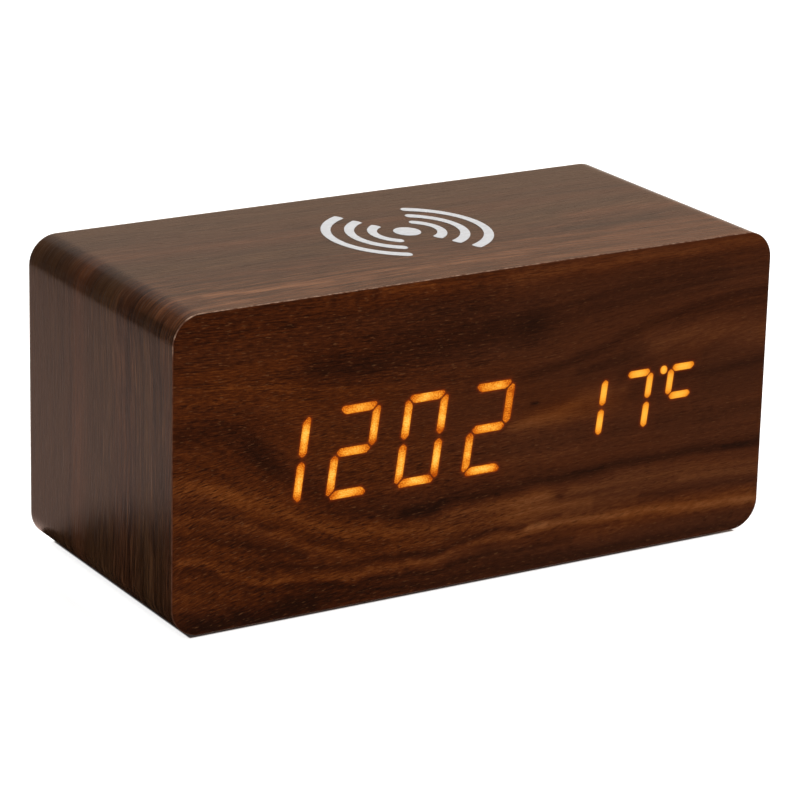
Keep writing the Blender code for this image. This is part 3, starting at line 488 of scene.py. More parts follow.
def wrap_wood():
    """The film round the case: (s, y) in millimetres, s running round it along the grain and y from front to back."""
    f = Finish("walnut_film_wrap")
    grain = f.uv("grain")
    tone, warm, lively, crisp = f.attribute("tone"), f.attribute("warm"), f.attribute("lively"), f.attribute("crisp")
    s, y, _ = f.split(grain)
    drift = f.noise(f.scaled(grain, (0.012, 0.03, 1.0), (4.0, 1.0, 0.0)), 1.0, 0.0, 0.5)
    y2 = f.add(y, f.times(f.add(drift, -0.5), 14.0))
    warped = f.joined(s, y2)
    broad = f.noise(f.scaled(warped, (0.008, 0.11, 1.0), (3.0, 6.0, 0.0)), 1.0, 3.0, 0.55)
    bands = f.noise(f.scaled(warped, (0.012, 0.42, 1.0), (9.0, 2.0, 0.0)), 1.0, 3.0, 0.6)
    streak = f.noise(f.scaled(warped, (0.035, 1.5, 1.0), (1.0, 7.0, 0.0)), 1.0, 3.0, 0.62)
    fine = f.noise(f.scaled(warped, (0.10, 4.2, 1.0), (2.0, 5.0, 0.0)), 1.0, 2.0, 0.6)
    # The fine lines stand out most towards the front and the left.
    coarse = f.times(f.band(y, 12.0, -16.0, 0.72, 1.70), crisp)
    value = f.add(
        0.47,
        f.times(tone, 0.30),
        f.times(f.times(f.add(broad, -0.5), 0.38), lively),
        f.times(f.times(f.add(bands, -0.5), 0.42), lively),
        f.times(f.times(f.add(streak, -0.5), 0.50), coarse),
        f.times(f.times(f.add(fine, -0.5), 0.85), coarse),
    )
    reddish = f.ramp(value, [(0.0, (0.005, 0.0014, 0.0006)), (0.32, (0.015, 0.0042, 0.0016)), (0.56, (0.040, 0.0128, 0.0048)),
                             (0.80, (0.096, 0.034, 0.0140)), (1.0, (0.17, 0.072, 0.032))])
    olive = f.ramp(value, [(0.0, (0.005, 0.0018, 0.0008)), (0.32, (0.014, 0.0052, 0.0020)), (0.56, (0.035, 0.0146, 0.0056)),
                           (0.80, (0.082, 0.038, 0.0156)), (1.0, (0.145, 0.076, 0.035))])
    hue = f.noise(f.scaled(warped, (0.010, 0.085, 1.0), (14.0, 3.0, 0.0)), 1.0, 2.0, 0.5)
    colour = f.mix(f.math("ADD", warm, f.times(f.times(f.add(hue, -0.5), 1.2), lively), clamp=True), olive, reddish)
    pore = f.band(f.noise(f.scaled(warped, (0.09, 3.6, 1.0), (6.0, 3.0, 0.0)), 1.0, 1.0, 0.5), 0.60, 0.72)
    colour = f.mix(f.times(pore, f.times(coarse, 0.50)), colour, (0.005, 0.0018, 0.0010))
    f.set("Base Color", colour)
    f.set("Roughness", f.band(f.add(fine, f.times(pore, -0.25)), 0.2, 0.8, 0.31, 0.23, smooth=False))
    f.set("IOR", 1.4)
    f.set("Specular IOR Level", 0.06)
    f.bump(f.add(f.times(pore, -0.7), f.times(streak, 0.9), f.times(fine, 0.8)), 0.03, 0.75)
    return f.mat


def film_edge():
    """The cut edge of the film, with a painted highlight: palest round the upper left corner and along the top of the
    front.
    """
    f = Finish("film_cut_edge", Roughness=0.5)
    p = f.place()
    x, y, z = f.split(p)
    n = f.noise(f.scaled(p, (0.9, 0.9, 0.9)), 1.0, 3.0, 0.6)
    patches = f.band(f.noise(f.scaled(p, (0.34, 0.34, 0.34), (2.0, 5.0, 1.0)), 1.0, 1.0, 0.5), 0.42, 0.60, 0.12, 1.0)
    # Painted highlight: pale patches round the upper left corner and a pale strip along the top, at the front edge
    # only.
    painted_corner_highlight = f.times(f.times(f.band(x, -60.0, -70.0), f.band(z, 61.0, 66.0)), patches)
    top = f.times(f.band(z, 69.0, 70.5), f.band(x, 60.0, -60.0, 0.55, 0.8))
    pale = f.times(f.math("MAXIMUM", painted_corner_highlight, top), f.band(y, -20.0, -30.0))
    dull = f.ramp(n, [(0.25, (0.040, 0.0135, 0.007)), (0.75, (0.095, 0.036, 0.019))])
    bright = f.ramp(n, [(0.38, (0.10, 0.045, 0.026)), (0.66, (0.34, 0.22, 0.155))])
    f.set("Base Color", f.mix(pale, dull, bright))
    f.set("Specular IOR Level", 0.02)
    return f.mat


def dark_board(name="stained_board", light=1.0):
    """Fibreboard: matted fibres, dark stained where it shows."""
    f = Finish(name)
    p = f.place()
    fibres = f.noise(f.scaled(p, (1.1, 1.1, 1.1)), 2.2, 5.0, 0.7, 0.6)
    flakes = f.cells(f.scaled(p, (2.2, 2.2, 2.2)), 1.0)
    value = f.add(f.times(fibres, 0.8), f.times(flakes, 0.25))
    f.set("Base Color", f.ramp(value, [(0.25, tuple(c * light for c in (0.012, 0.007, 0.005))), (0.6, tuple(c * light for c in (0.035, 0.020, 0.012))),
                                       (0.9, tuple(c * light for c in (0.075, 0.045, 0.028)))]))
    f.set("Roughness", f.band(fibres, 0.3, 0.7, 0.85, 0.7))
    f.set("Specular IOR Level", 0.25)
    f.bump(value, 0.08, 0.6)
    return f.mat


# ================================================================ other finishes
def plastic(name, dark, light, roughness=0.5, grain=3.0, depth=0.02, specular=0.5):
    """Moulded plastic with a fine eroded texture."""
    f = Finish(name)
    p = f.place()
    fine = f.noise(p, grain, 3.0, 0.6)
    cloud = f.noise(p, 0.08, 2.0, 0.5)
    f.set("Base Color", f.mix(f.band(f.add(f.times(fine, 0.6), f.times(cloud, 0.4)), 0.35, 0.65), dark, light))
    f.set("Roughness", f.band(f.add(f.times(fine, 0.5), f.times(cloud, 0.5)), 0.3, 0.7, roughness - 0.07, roughness + 0.08))
    f.set("Specular IOR Level", specular)
    f.bump(fine, depth, 0.7)
    return f.mat


def metal(name, dark, light, roughness=0.3, scale=(0.6, 9.0, 9.0), metallic=1.0):
    """Plated metal with faint drawing marks."""
    f = Finish(name, Metallic=metallic)
    p = f.place()
    marks = f.noise(f.scaled(p, scale), 1.0, 3.0, 0.6)
    cloud = f.noise(p, 0.35, 2.0, 0.5)
    f.set("Base Color", f.mix(f.band(f.add(f.times(marks, 0.5), f.times(cloud, 0.5)), 0.35, 0.65), dark, light))
    f.set("Roughness", f.band(marks, 0.3, 0.7, roughness - 0.06, roughness + 0.08))
    f.bump(marks, 0.006, 0.5)
    return f.mat


def rubber():
    f = Finish("foot_rubber_finish")
    p = f.place()
    n = f.noise(p, 2.4, 4.0, 0.65)
    f.set("Base Color", f.ramp(n, [(0.3, (0.012, 0.012, 0.012)), (0.7, (0.030, 0.029, 0.028))]))
    f.set("Roughness", f.band(n, 0.3, 0.7, 0.72, 0.9))
    f.set("Specular IOR Level", 0.3)
    f.bump(n, 0.03, 0.6)
    return f.mat


def circuit_board():
    """Green solder mask over copper tracks, with tinned pads."""
    f = Finish("circuit_board_finish")
    p = f.place()
    tracks = f.cells(f.scaled(p, (0.5, 0.5, 0.5)), 1.0, feature="DISTANCE_TO_EDGE", randomness=0.35)
    line = f.band(tracks, 0.05, 0.075, 1.0, 0.0)
    pads = f.cells(f.scaled(p, (0.42, 0.42, 0.42)), 1.0, randomness=0.55)
    pad = f.band(pads, 0.15, 0.17, 1.0, 0.0)
    weave = f.noise(p, 2.0, 3.0, 0.6)
    colour = f.mix(line, f.mix(f.band(weave, 0.35, 0.65), (0.006, 0.060, 0.022), (0.010, 0.085, 0.032)), (0.022, 0.150, 0.058))
    colour = f.mix(pad, colour, (0.55, 0.55, 0.52))
    f.set("Base Color", colour)
    f.set("Metallic", f.times(pad, 0.9))
    f.set("Roughness", f.band(weave, 0.3, 0.7, 0.28, 0.42))
    f.bump(f.add(line, f.times(pad, 1.5)), 0.035, 0.7)
    return f.mat


def winding():
    """Turns of enamelled copper wire, round the middle of the coil."""
    (x0, y0, _), (x1, y1, _) = box_mm("charging_coil")
    f = Finish("enamelled_winding", Metallic=0.85)
    p = f.place()
    x, y, _ = f.split(p)
    dx, dy = f.add(x, -(x0 + x1) / 2), f.add(y, -(y0 + y1) / 2)
    r = f.math("SQRT", f.add(f.times(dx, dx), f.times(dy, dy)))
    wave = f.math("SINE", f.times(r, 2 * math.pi / 1.1))
    n = f.noise(p, 0.6, 2.0, 0.5)
    f.set("Base Color", f.mix(f.band(wave, -1.0, 0.4), (0.20, 0.055, 0.018), f.mix(n, (0.62, 0.26, 0.11), (0.72, 0.33, 0.15))))
    f.set("Roughness", f.band(n, 0.3, 0.7, 0.25, 0.38))
    f.bump(wave, 0.25, 0.8)
    return f.mat


def ferrite():
    f = Finish("ferrite_finish")
    p = f.place()
    n = f.noise(p, 1.8, 4.0, 0.7)
    f.set("Base Color", f.ramp(n, [(0.3, (0.018, 0.018, 0.020)), (0.7, (0.055, 0.055, 0.060))]))
    f.set("Roughness", f.band(n, 0.3, 0.7, 0.5, 0.7))
    f.bump(n, 0.02, 0.5)
    return f.mat


def cell_jacket():
    """The printed sleeve of a cell: dark body, a bright ring near its positive end."""
    f = Finish("cell_jacket_finish", Metallic=0.35)
    coord = f.uv("jacket")
    along, round_, _ = f.split(coord)
    n = f.noise(f.place(), 1.3, 3.0, 0.6)
    ring = f.math("MULTIPLY", f.band(along, 0.715, 0.72), f.band(along, 0.965, 0.97, 1.0, 0.0))
    thin = f.math("MULTIPLY", f.band(along, 0.690, 0.693), f.band(along, 0.702, 0.705, 1.0, 0.0))
    body = f.mix(f.band(n, 0.3, 0.7), (0.012, 0.055, 0.032), (0.020, 0.078, 0.045))
    colour = f.mix(f.math("MAXIMUM", ring, thin), body, f.mix(f.band(n, 0.3, 0.7), (0.58, 0.34, 0.10), (0.70, 0.43, 0.15)))
    f.set("Base Color", colour)
    f.set("Roughness", f.band(n, 0.3, 0.7, 0.26, 0.36))
    f.set("Coat Weight", 0.4)
    f.bump(n, 0.01, 0.4)
    return f.mat


def striped_ribbon():
    f = Finish("ribbon_finish")
    p = f.place()
    x, _, _ = f.split(p)
    wave = f.math("SINE", f.times(x, 2 * math.pi / 1.0))
    n = f.noise(p, 1.0, 2.0, 0.5)
    f.set("Base Color", f.mix(f.band(wave, -0.9, -0.2), (0.42, 0.42, 0.41), f.mix(n, (0.66, 0.66, 0.64), (0.72, 0.72, 0.70))))
    f.set("Roughness", f.band(n, 0.3, 0.7, 0.4, 0.5))
    f.bump(wave, 0.12, 0.6)
    return f.mat


def lit_bar(name, stops, grain_depth):
    """A lit bar seen through the film: brightest over its lamp, the film's grain showing in it."""
    f = Finish(name, Roughness=0.55)
    core = f.attribute("core")
    grain = f.uv("bar")
    mottle = f.noise(f.scaled(grain, (2.6, 3.6, 1.0)), 1.0, 3.0, 0.8)
    broad = f.noise(f.scaled(grain, (0.30, 0.42, 1.0), (3.0, 8.0, 0.0)), 1.0, 1.0, 0.5)
    value = f.add(f.times(core, 0.86), f.times(f.add(mottle, -0.5), 2.3 * grain_depth), f.times(f.add(broad, -0.5), 0.8 * grain_depth), 0.04)
    f.set("Emission Color", f.ramp(value, stops))
    f.set("Emission Strength", 1.0)
    f.set("Base Color", f.ramp(value, [(0.0, (0.06, 0.015, 0.002)), (1.0, (0.10, 0.035, 0.004))]))
    f.set("Specular IOR Level", 0.0)
    return f.mat


def rim_light():
    """The faint darker rim of a bar, where its light fades in the film."""
    f = Finish("lit_rim", Roughness=0.6)
    n = f.noise(f.scaled(f.uv("bar"), (1.0, 2.5, 1.0)), 1.0, 2.0, 0.6)
    f.set("Emission Color", f.ramp(n, [(0.3, (0.07, 0.007, 0.0002)), (0.7, (0.13, 0.016, 0.0005))]))
    f.set("Emission Strength", 1.0)
    f.set("Base Color", f.ramp(n, [(0.3, (0.05, 0.014, 0.004)), (0.7, (0.07, 0.02, 0.006))]))
    f.set("Specular IOR Level", 0.0)
    return f.mat


def ink():
    f = Finish("white_ink")
    p = f.place()
    n = f.noise(f.scaled(p, (0.5, 2.0, 1.0)), 1.5, 4.0, 0.65)
    f.set("Base Color", f.mix(f.band(n, 0.3, 0.7), (0.425, 0.445, 0.46), (0.55, 0.575, 0.595)))
    f.set("Roughness", f.band(n, 0.3, 0.7, 0.42, 0.55))
    f.set("Specular IOR Level", 0.15)
    f.bump(n, 0.01, 0.5)
    return f.mat


WRAP = wrap_wood()
FRONT = front_wood()
EDGE = film_edge()
BOARD_DARK = dark_board()
BOARD_RAW = dark_board("raw_fibreboard", 7.0)
ABS_COVER = plastic("black_cover", (0.014, 0.014, 0.015), (0.026, 0.026, 0.027), 0.52, 3.2, 0.03, 0.32)
ABS_DOOR = plastic("black_door", (0.013, 0.013, 0.014), (0.023, 0.023, 0.024), 0.48, 3.2, 0.025, 0.32)
ABS_KEY = plastic("black_key", (0.018, 0.018, 0.019), (0.028, 0.028, 0.029), 0.36, 2.0, 0.008, 0.32)
ABS_WHITE = plastic("white_plastic_finish", (0.66, 0.66, 0.63), (0.76, 0.76, 0.73), 0.42, 2.0, 0.01)
OPAL = plastic("opal_sheet_finish", (0.72, 0.70, 0.64), (0.82, 0.80, 0.74), 0.34, 1.2, 0.006)
EPOXY = plastic("chip_epoxy_finish", (0.012, 0.012, 0.012), (0.026, 0.026, 0.026), 0.55, 3.0, 0.02)
KEY_PRINT = plastic("key_print", (0.34, 0.34, 0.34), (0.46, 0.46, 0.46), 0.45, 2.5, 0.006)
STEEL = metal("nickel_plate", (0.50, 0.50, 0.50), (0.66, 0.66, 0.65), 0.26)
STEEL_DARK = metal("black_oxide_screw", (0.10, 0.10, 0.105), (0.17, 0.17, 0.175), 0.34)
GOLD = metal("gold_contact", (0.68, 0.45, 0.16), (0.80, 0.56, 0.24), 0.22)
RUBBER = rubber()
BOARD_GREEN = circuit_board()
COPPER_COIL = winding()
COPPER_WIRE = metal("enamelled_wire", (0.52, 0.20, 0.08), (0.66, 0.29, 0.12), 0.3, (2.0, 2.0, 2.0), 0.85)
FERRITE = ferrite()
JACKET = cell_jacket()
RIBBON = striped_ribbon()
WIRE_RED = plastic("red_insulation", (0.36, 0.012, 0.010), (0.50, 0.022, 0.016), 0.38, 1.5, 0.01)
WIRE_BLACK = plastic("black_insulation", (0.012, 0.012, 0.012), (0.024, 0.024, 0.024), 0.38, 1.5, 0.01)
CAN_BLUE = plastic("capacitor_sleeve", (0.012, 0.030, 0.085), (0.020, 0.045, 0.120), 0.3, 1.5, 0.008)
CAP_BODY = plastic("film_capacitor", (0.30, 0.020, 0.012), (0.42, 0.035, 0.020), 0.35, 1.5, 0.01)
INK = ink()
BAR_BIG = lit_bar("lit_bar_large", [(0.0, (0.33, 0.042, 0.001)), (0.28, (0.62, 0.138, 0.005)), (0.52, (0.84, 0.260, 0.016)),
                                    (0.76, (0.95, 0.400, 0.036)), (1.0, (1.0, 0.62, 0.11))], 1.0)
BAR_SMALL = lit_bar("lit_bar_small", [(0.0, (0.55, 0.120, 0.004)), (0.30, (0.80, 0.250, 0.014)), (0.60, (0.97, 0.390, 0.032)),
                                      (1.0, (1.0, 0.52, 0.06))], 0.45)
RIM = rim_light()

CAD_FINISH = {
    "case_sleeve": BOARD_DARK, "front_board": BOARD_RAW, "wrap_film": WRAP, "front_film": EDGE,
    "diffuser_sheet": OPAL, "display_mask": ABS_WHITE, "display_board": BOARD_GREEN,
    "display_screw_left": STEEL, "display_screw_right": STEEL, "rear_cover": ABS_COVER, "battery_door": ABS_DOOR,
    "cover_screw_low_left": STEEL_DARK, "cover_screw_high_left": STEEL_DARK, "cover_screw_low_right": STEEL_DARK, "cover_screw_high_right": STEEL_DARK,
    "set_button": ABS_KEY, "up_button": ABS_KEY, "down_button": ABS_KEY,
    "set_switch_body": EPOXY, "up_switch_body": EPOXY, "down_switch_body": EPOXY,
    "set_switch_plunger": STEEL, "up_switch_plunger": STEEL, "down_switch_plunger": STEEL,
    "sound_switch_body": STEEL, "sound_switch_knob": ABS_KEY, "main_board": BOARD_GREEN, "controller_chip": EPOXY,
    "clock_crystal": STEEL, "filter_capacitor": CAN_BLUE, "buzzer": EPOXY, "microphone": STEEL, "temperature_sensor": EPOXY,
    "usb_shell": STEEL, "usb_tongue": EPOXY, "battery_cell_1": CAN_BLUE, "battery_cell_2": CAN_BLUE, "battery_cell_3": CAN_BLUE,
    "negative_contact": STEEL, "bridge_contact_low": STEEL, "bridge_contact_high": STEEL, "positive_contact": STEEL,
    "coil_tray": ABS_WHITE, "ferrite_plate": FERRITE, "charging_coil": COPPER_COIL, "coil_thermistor": EPOXY,
    "charger_board": BOARD_GREEN, "charger_chip": EPOXY, "charger_inductor": FERRITE, "resonance_capacitor": CAP_BODY,
    "display_ribbon": RIBBON, "charger_cable": WIRE_BLACK, "coil_lead_inner": COPPER_WIRE, "coil_lead_outer": COPPER_WIRE,
    "battery_wire_red": WIRE_RED, "battery_wire_black": WIRE_BLACK,
    "foot_front_left": RUBBER, "foot_front_right": RUBBER, "foot_back_left": RUBBER, "foot_back_right": RUBBER,
}
for name, ob in NODES.items():
    ob.data.materials.clear()
    ob.data.materials.append(CAD_FINISH[name])


# ================================================================ the wrapped film
def segment_distance(px, pz, a, b):
    ax, az = a
    dx, dz = b[0] - ax, b[1] - az
    length2 = dx * dx + dz * dz
    t = np.clip(((px - ax) * dx + (pz - az) * dz) / max(length2, 1e-9), 0, 1)
    return np.hypot(px - ax - t * dx, pz - az - t * dz)


def smooth_step(x, a, b):
    t = np.clip((x - a) / (b - a), 0, 1)
    return t * t * (3 - 2 * t)


def stroke_sum(px, pz, strokes, column):
    """What a set of soft strokes adds up to at points: each is (points of its line, half width, strength, ...)."""
    total = np.zeros_like(px)
    for stroke in strokes:
        points, width, strength = stroke[0], stroke[1], stroke[column]
        d = np.full_like(px, 1e9)
        for a, b in zip(points, points[1:]):
            d = np.minimum(d, segment_distance(px, pz, a, b))
        total += strength * np.exp(-(d / width) ** 2)
    return total


# Bands of the film that run all the way round the case: (y, half width, tone, warmth).
ROUND_BANDS = [
    (27.0, 8.0, 0.0, -0.65), (13.4, 0.8, -0.45, 0.0), (9.6, 3.2, 0.25, 0.55), (-1.0, 5.0, 0.0, -0.45), (-12.5, 5.0, -0.05, 0.45), (-14.5, 0.9, -0.35, 0.0),
    (-20.8, 0.7, -0.55, 0.0), (-23.4, 1.6, 0.16, 0.10), (-26.3, 0.7, -0.40, 0.0), (-28.4, 0.5, -0.35, 0.0), (-31.4, 1.8, 0.15, 0.45),
]
# More of its figure on the top (x, y) and on the left side (z, y): (points, half width, tone, warmth).
TOP_STROKES = [
    ([(-75, 10), (-50, 10.5), (-30, 9), (-19, 8)], 2.6, 0.20, 0.5),
    ([(-70, -20.3), (-50, -20.8), (-20, -21.6), (0, -22.2)], 0.6, -0.55, 0.0),
    ([(-62, -23.4), (-50, -24.3), (-33, -24.8)], 0.8, 0.75, 0.5),
    ([(-75, -27.6), (-40, -28.3), (0, -28.0), (40, -28.5)], 0.45, -0.35, 0.0),
    ([(42, -5.0), (55, -4.6), (73, -6.0)], 3.4, 0.32, 0.9),
    ([(34, -13.4), (45, -14.6), (58, -14.0)], 1.5, -0.60, -0.4),
    ([(28, -8.5), (40, -10.5), (52, -11.5), (66, -11.2)], 0.8, -0.35, -0.2),
    ([(45, -19), (60, -20.2), (73, -20)], 3.0, 0.25, 0.6),
    ([(-75, -16.6), (-30, -17.4), (10, -18.2)], 0.5, -0.30, 0.0),
    ([(-48, -11.5), (-20, -12.6), (0, -12.2)], 1.2, 0.20, 0.4),
    ([(-80, -26), (80, -26)], 10.5, 0.72, 0.60),
]
LEFT_STROKES = [
    ([(66, 17.6), (40, 17.4)], 0.5, -0.30, 0.0),
    ([(71, -21.4), (0, -21.9)], 1.8, 0.14, -0.35),
    ([(62, -13.2), (44, -13.6)], 0.45, -0.50, 0.0),
    ([(64, -15.0), (50, -15.4)], 0.4, -0.50, 0.0),
    ([(52, -17.3), (36, -17.2)], 0.4, -0.35, 0.0),
    ([(60, -25.2), (46, -25.5)], 0.5, -0.65, 0.0),
    ([(42, -24.8), (18, -25.6)], 0.45, -0.60, 0.0),
    ([(34, -23.2), (20, -23.4)], 0.35, -0.45, 0.0),
    ([(70, -28.2), (30, -28.8)], 0.45, -0.45, 0.0),
    ([(50, -31.5), (12, -31.8)], 0.6, -0.40, 0.2),
    ([(60, -1.8), (40, -2.2)], 0.5, -0.25, 0.0),
]


def wrap_outline(inset, r, n=16, step=1.3, seam=0.25):
    """Once round the case from the seam in its underside."""
    x0, x1, z0, z1 = WX0 + inset, WX1 - inset, WZ0 + inset, WZ1 - inset
    corners = ((x0 + r, z0 + r, -90), (x0 + r, z1 - r, 180), (x1 - r, z1 - r, 90), (x1 - r, z0 + r, 0))
    pts = [(-seam, z0)]
    for cx, cz, a0 in corners:
        arc = [(cx + r * math.cos(math.radians(a0 - 90 * i / n)), cz + r * math.sin(math.radians(a0 - 90 * i / n))) for i in range(n + 1)]
        (px, pz), (qx, qz) = pts[-1], arc[0]
        count = int(round(math.hypot(qx - px, qz - pz) / step))
        pts += [(px + (qx - px) * k / count, pz + (qz - pz) * k / count) for k in range(1, count)]
        pts += arc
    (px, pz), (qx, qz) = pts[-1], (seam, z0)
    count = int(round(math.hypot(qx - px, qz - pz) / step))
    pts += [(px + (qx - px) * k / count, pz + (qz - pz) * k / count) for k in range(1, count + 1)]
    return pts


def build_wrap():
    y_front, y_back = FY1 + 0.02, WY1
    outer = wrap_outline(SKIN_IN, CORNER_R - SKIN_IN)
    length = [0.0]
    for a, b in zip(outer, outer[1:]):
        length.append(length[-1] + math.hypot(b[0] - a[0], b[1] - a[1]))
    count = len(outer)
    # The inner side: each point moved in along the outline's own normal.
    inner = []
    for i, (x, z) in enumerate(outer):
        (ax, az), (bx, bz) = outer[max(i - 1, 0)], outer[min(i + 1, count - 1)]
        d = math.hypot(bx - ax, bz - az)
        inner.append((x + (bz - az) / d * 0.5, z - (bx - ax) / d * 0.5))
    rows = 112
    levels = [(outer, y_front + (y_back - 0.15 - y_front) * k / rows, 0.0) for k in range(rows + 1)] + [(outer, y_back, 0.1), (inner, y_back, 0.0), (inner, y_front, 0.0)]
    verts, uv_of = [], []
    for line, y, pull in levels:
        for i, (x, z) in enumerate(line):
            if pull:
                ix, iz = inner[i]
                x, z = x + (ix - x) * pull / 0.5, z + (iz - z) * pull / 0.5
            verts.append((x, y, z))
            uv_of.append((length[i], y))
    faces = []
    n_rows = len(levels)
    for r in range(n_rows):
        q = (r + 1) % n_rows
        for i in range(count - 1):
            faces.append((r * count + i, r * count + i + 1, q * count + i + 1, q * count + i))
    faces.append(tuple(r * count for r in range(n_rows)))
    faces.append(tuple(r * count + count - 1 for r in range(n_rows))[::-1])
    mesh = mesh_from(verts, faces, "wood_wrap")
    face_out(mesh)
    layer = mesh.uv_layers.new(name="grain")
    index = np.empty(len(mesh.loops), np.int32)
    mesh.loops.foreach_get("vertex_index", index)
    layer.data.foreach_set("uv", np.array(uv_of, np.float32)[index].ravel())
    co = np.array(verts, float)
    x, y, z = co[:, 0], co[:, 1], co[:, 2]
    s = np.array(uv_of)[:, 0]
    wobble = 0.55 * np.sin(s * 0.045 + y * 0.06) + 0.30 * np.sin(s * 0.11 + 1.7) + 0.15 * np.sin(s * 0.31 + y * 0.2)
    yy = y + wobble
    tone, warm = np.zeros_like(x), np.full_like(x, 0.5)
    for at, width, t, w in ROUND_BANDS:
        bell = np.exp(-((yy - at) / width) ** 2)
        tone += t * bell
        warm += w * bell
    on_top = (z > WZ1 - CORNER_R * 0.5).astype(float)
    on_left = ((x < WX0 + CORNER_R) & (z <= WZ1 - CORNER_R * 0.2)).astype(float)
    fade = smooth_step(z, WZ1 - CORNER_R, WZ1 - 1.0)
    tone += on_top * fade * stroke_sum(x, yy, TOP_STROKES, 2) + on_left * (1 - fade) * stroke_sum(z, yy, LEFT_STROKES, 2)
    warm += on_top * fade * stroke_sum(x, yy, TOP_STROKES, 3) + on_left * (1 - fade) * stroke_sum(z, yy, LEFT_STROKES, 3)
    warm -= 0.30 * on_left * (1 - fade)
    lively = 1.0 - 0.68 * on_left * (1 - fade)
    crisp = 1.0 - 0.40 * smooth_step(x, 0, 62)
    for name, values in (("tone", tone), ("warm", warm), ("lively", lively), ("crisp", crisp)):
        mesh.attributes.new(name, "FLOAT", "POINT").data.foreach_set("value", values.astype(np.float32))
    # The cut at the back and at the front shows the film's core.
    for p in mesh.polygons:
        ys = [mesh.vertices[v].co.y / MM for v in p.vertices]
        if min(ys) > y_back - 0.16 or max(ys) < y_front + 0.01:
            p.material_index = 1
    return mesh


place("wood_wrap", build_wrap(), "case", ["wrap_film"], 50, [WRAP, EDGE])


# ================================================================ lit digits
DIGIT_Z, SMALL_Z = 35.9, 35.87
BIG = dict(w=8.84, h=9.28, t=1.86, lean=0.135)
BIG_X = (-48.95, -32.06, -15.25, 1.54)
BIG_RISE = (-0.12, 0.0, -0.06, -0.15)
SMALL = dict(w=6.3, h=6.43, t=1.62, lean=0.12)
SMALL_X = (27.84, 39.86, 51.74)
DEGREE = (47.25, 42.2, 0.98)


def bar_outlines(w, h, t, g, cut, tip, round_by):
    """The seven bars of a digit, unleaned, each as (axis start, axis end, outline): mitred ends g from the corner, blunted by cut, and tips beside the middle."""
    o, i = w / 2 + t / 2, w / 2 - t / 2
    ho, hi = h + t / 2, h - t / 2
    m = t / 2
    blunt = 0.58 * cut
    top = [(-i + g, hi), (i - g, hi), (o - g - blunt, ho - blunt), (o - g - cut, ho), (-o + g + cut, ho), (-o + g + blunt, ho - blunt)]
    right = [(i, m + g), (w / 2, tip), (o, m + g), (o, ho - g - cut), (o - blunt, ho - g - blunt), (i, hi - g)]
    middle = [(-w / 2 + g, 0), (-i + g, -m), (i - g, -m), (w / 2 - g, 0), (i - g, m), (-i + g, m)]
    flip_x = lambda pts: [(-x, z) for x, z in pts][::-1]
    flip_z = lambda pts: [(x, -z) for x, z in pts][::-1]
    bars = {
        "a": ((-o, h), (o, h), top), "b": ((w / 2, 0), (w / 2, ho), right), "c": ((w / 2, -ho), (w / 2, 0), flip_z(right)),
        "d": ((-o, -h), (o, -h), flip_z(top)), "e": ((-w / 2, -ho), (-w / 2, 0), flip_x(flip_z(right))),
        "f": ((-w / 2, 0), (-w / 2, ho), flip_x(right)), "g": ((-w / 2, 0), (w / 2, 0), middle),
    }
    return {k: (a, b, rounded_polygon(p, round_by)) for k, (a, b, p) in bars.items()}


def grow(points, by):
    """A convex outline moved outwards."""
    n = len(points)
    area = sum(points[i][0] * points[(i + 1) % n][1] - points[(i + 1) % n][0] * points[i][1] for i in range(n))
    way = 1 if area > 0 else -1
    out = []
    for i in range(n):
        a, b, c = Vector(points[i - 1]), Vector(points[i]), Vector(points[(i + 1) % n])
        t = (c - a).normalized()
        out.append((b.x + way * t.y * by, b.y - way * t.x * by))
    return out


def span_at(points, along, across, s):
    """Where a line across the outline, at s along its axis, enters and leaves it."""
    hits = []
    n = len(points)
    for i in range(n):
        (x0, z0), (x1, z1) = points[i], points[(i + 1) % n]
        a0, a1 = x0 * along[0] + z0 * along[1], x1 * along[0] + z1 * along[1]
        b0, b1 = x0 * across[0] + z0 * across[1], x1 * across[0] + z1 * across[1]
        if (a0 - s) * (a1 - s) <= 0 and abs(a1 - a0) > 1e-9:
            t = (s - a0) / (a1 - a0)
            hits.append(b0 + (b1 - b0) * t)
    return (min(hits), max(hits)) if hits else None


def bar_mesh(start, end, outline, put, y0, y1, stations=15, ways=4):
    """One bar as a thin closed body. put() takes its flat points to X and Z."""
    along = Vector((end[0] - start[0], end[1] - start[1])).normalized()
    across = (-along[1], along[0])
    reach = [p[0] * along[0] + p[1] * along[1] for p in outline]
    lo, hi = min(reach) + 1e-4, max(reach) - 1e-4
    grid = []
    for k in range(stations + 1):
        t = 0.5 - 0.5 * math.cos(math.pi * k / stations)
        s = lo + (hi - lo) * t
        a, b = span_at(outline, along, across, s)
        row = []
        for j in range(ways + 1):
            q = a + (b - a) * j / ways
            x, z = along[0] * s + across[0] * q, along[1] * s + across[1] * q
            u = 2 * (s - lo) / (hi - lo) - 1
            v = 2 * j / ways - 1
            core = (1 - abs(u) ** 2.1) * (1 - 0.48 * v * v)
            row.append((x, z, core))
        grid.append(row)
    verts, faces, core, uv = [], [], [], []
    per = ways + 1
    for y in (y0, y1):
        for row in grid:
            for x, z, c in row:
                X, Z = put(x, z)
                verts.append((X, y, Z))
                core.append(c)
                uv.append((X, Z))
    n = (stations + 1) * per
    for k in range(stations):
        for j in range(ways):
            a, b, c, d = k * per + j, (k + 1) * per + j, (k + 1) * per + j + 1, k * per + j + 1
            faces.append((a, b, c, d))
            faces.append((n + d, n + c, n + b, n + a))
    ring = [j for j in range(per)] + [k * per + ways for k in range(1, stations + 1)] + \
           [stations * per + j for j in range(ways - 1, -1, -1)] + [k * per for k in range(stations - 1, 0, -1)]
    for a, b in zip(ring, ring[1:] + ring[:1]):
        faces.append((a, b, n + b, n + a))
    return verts, faces, core, uv


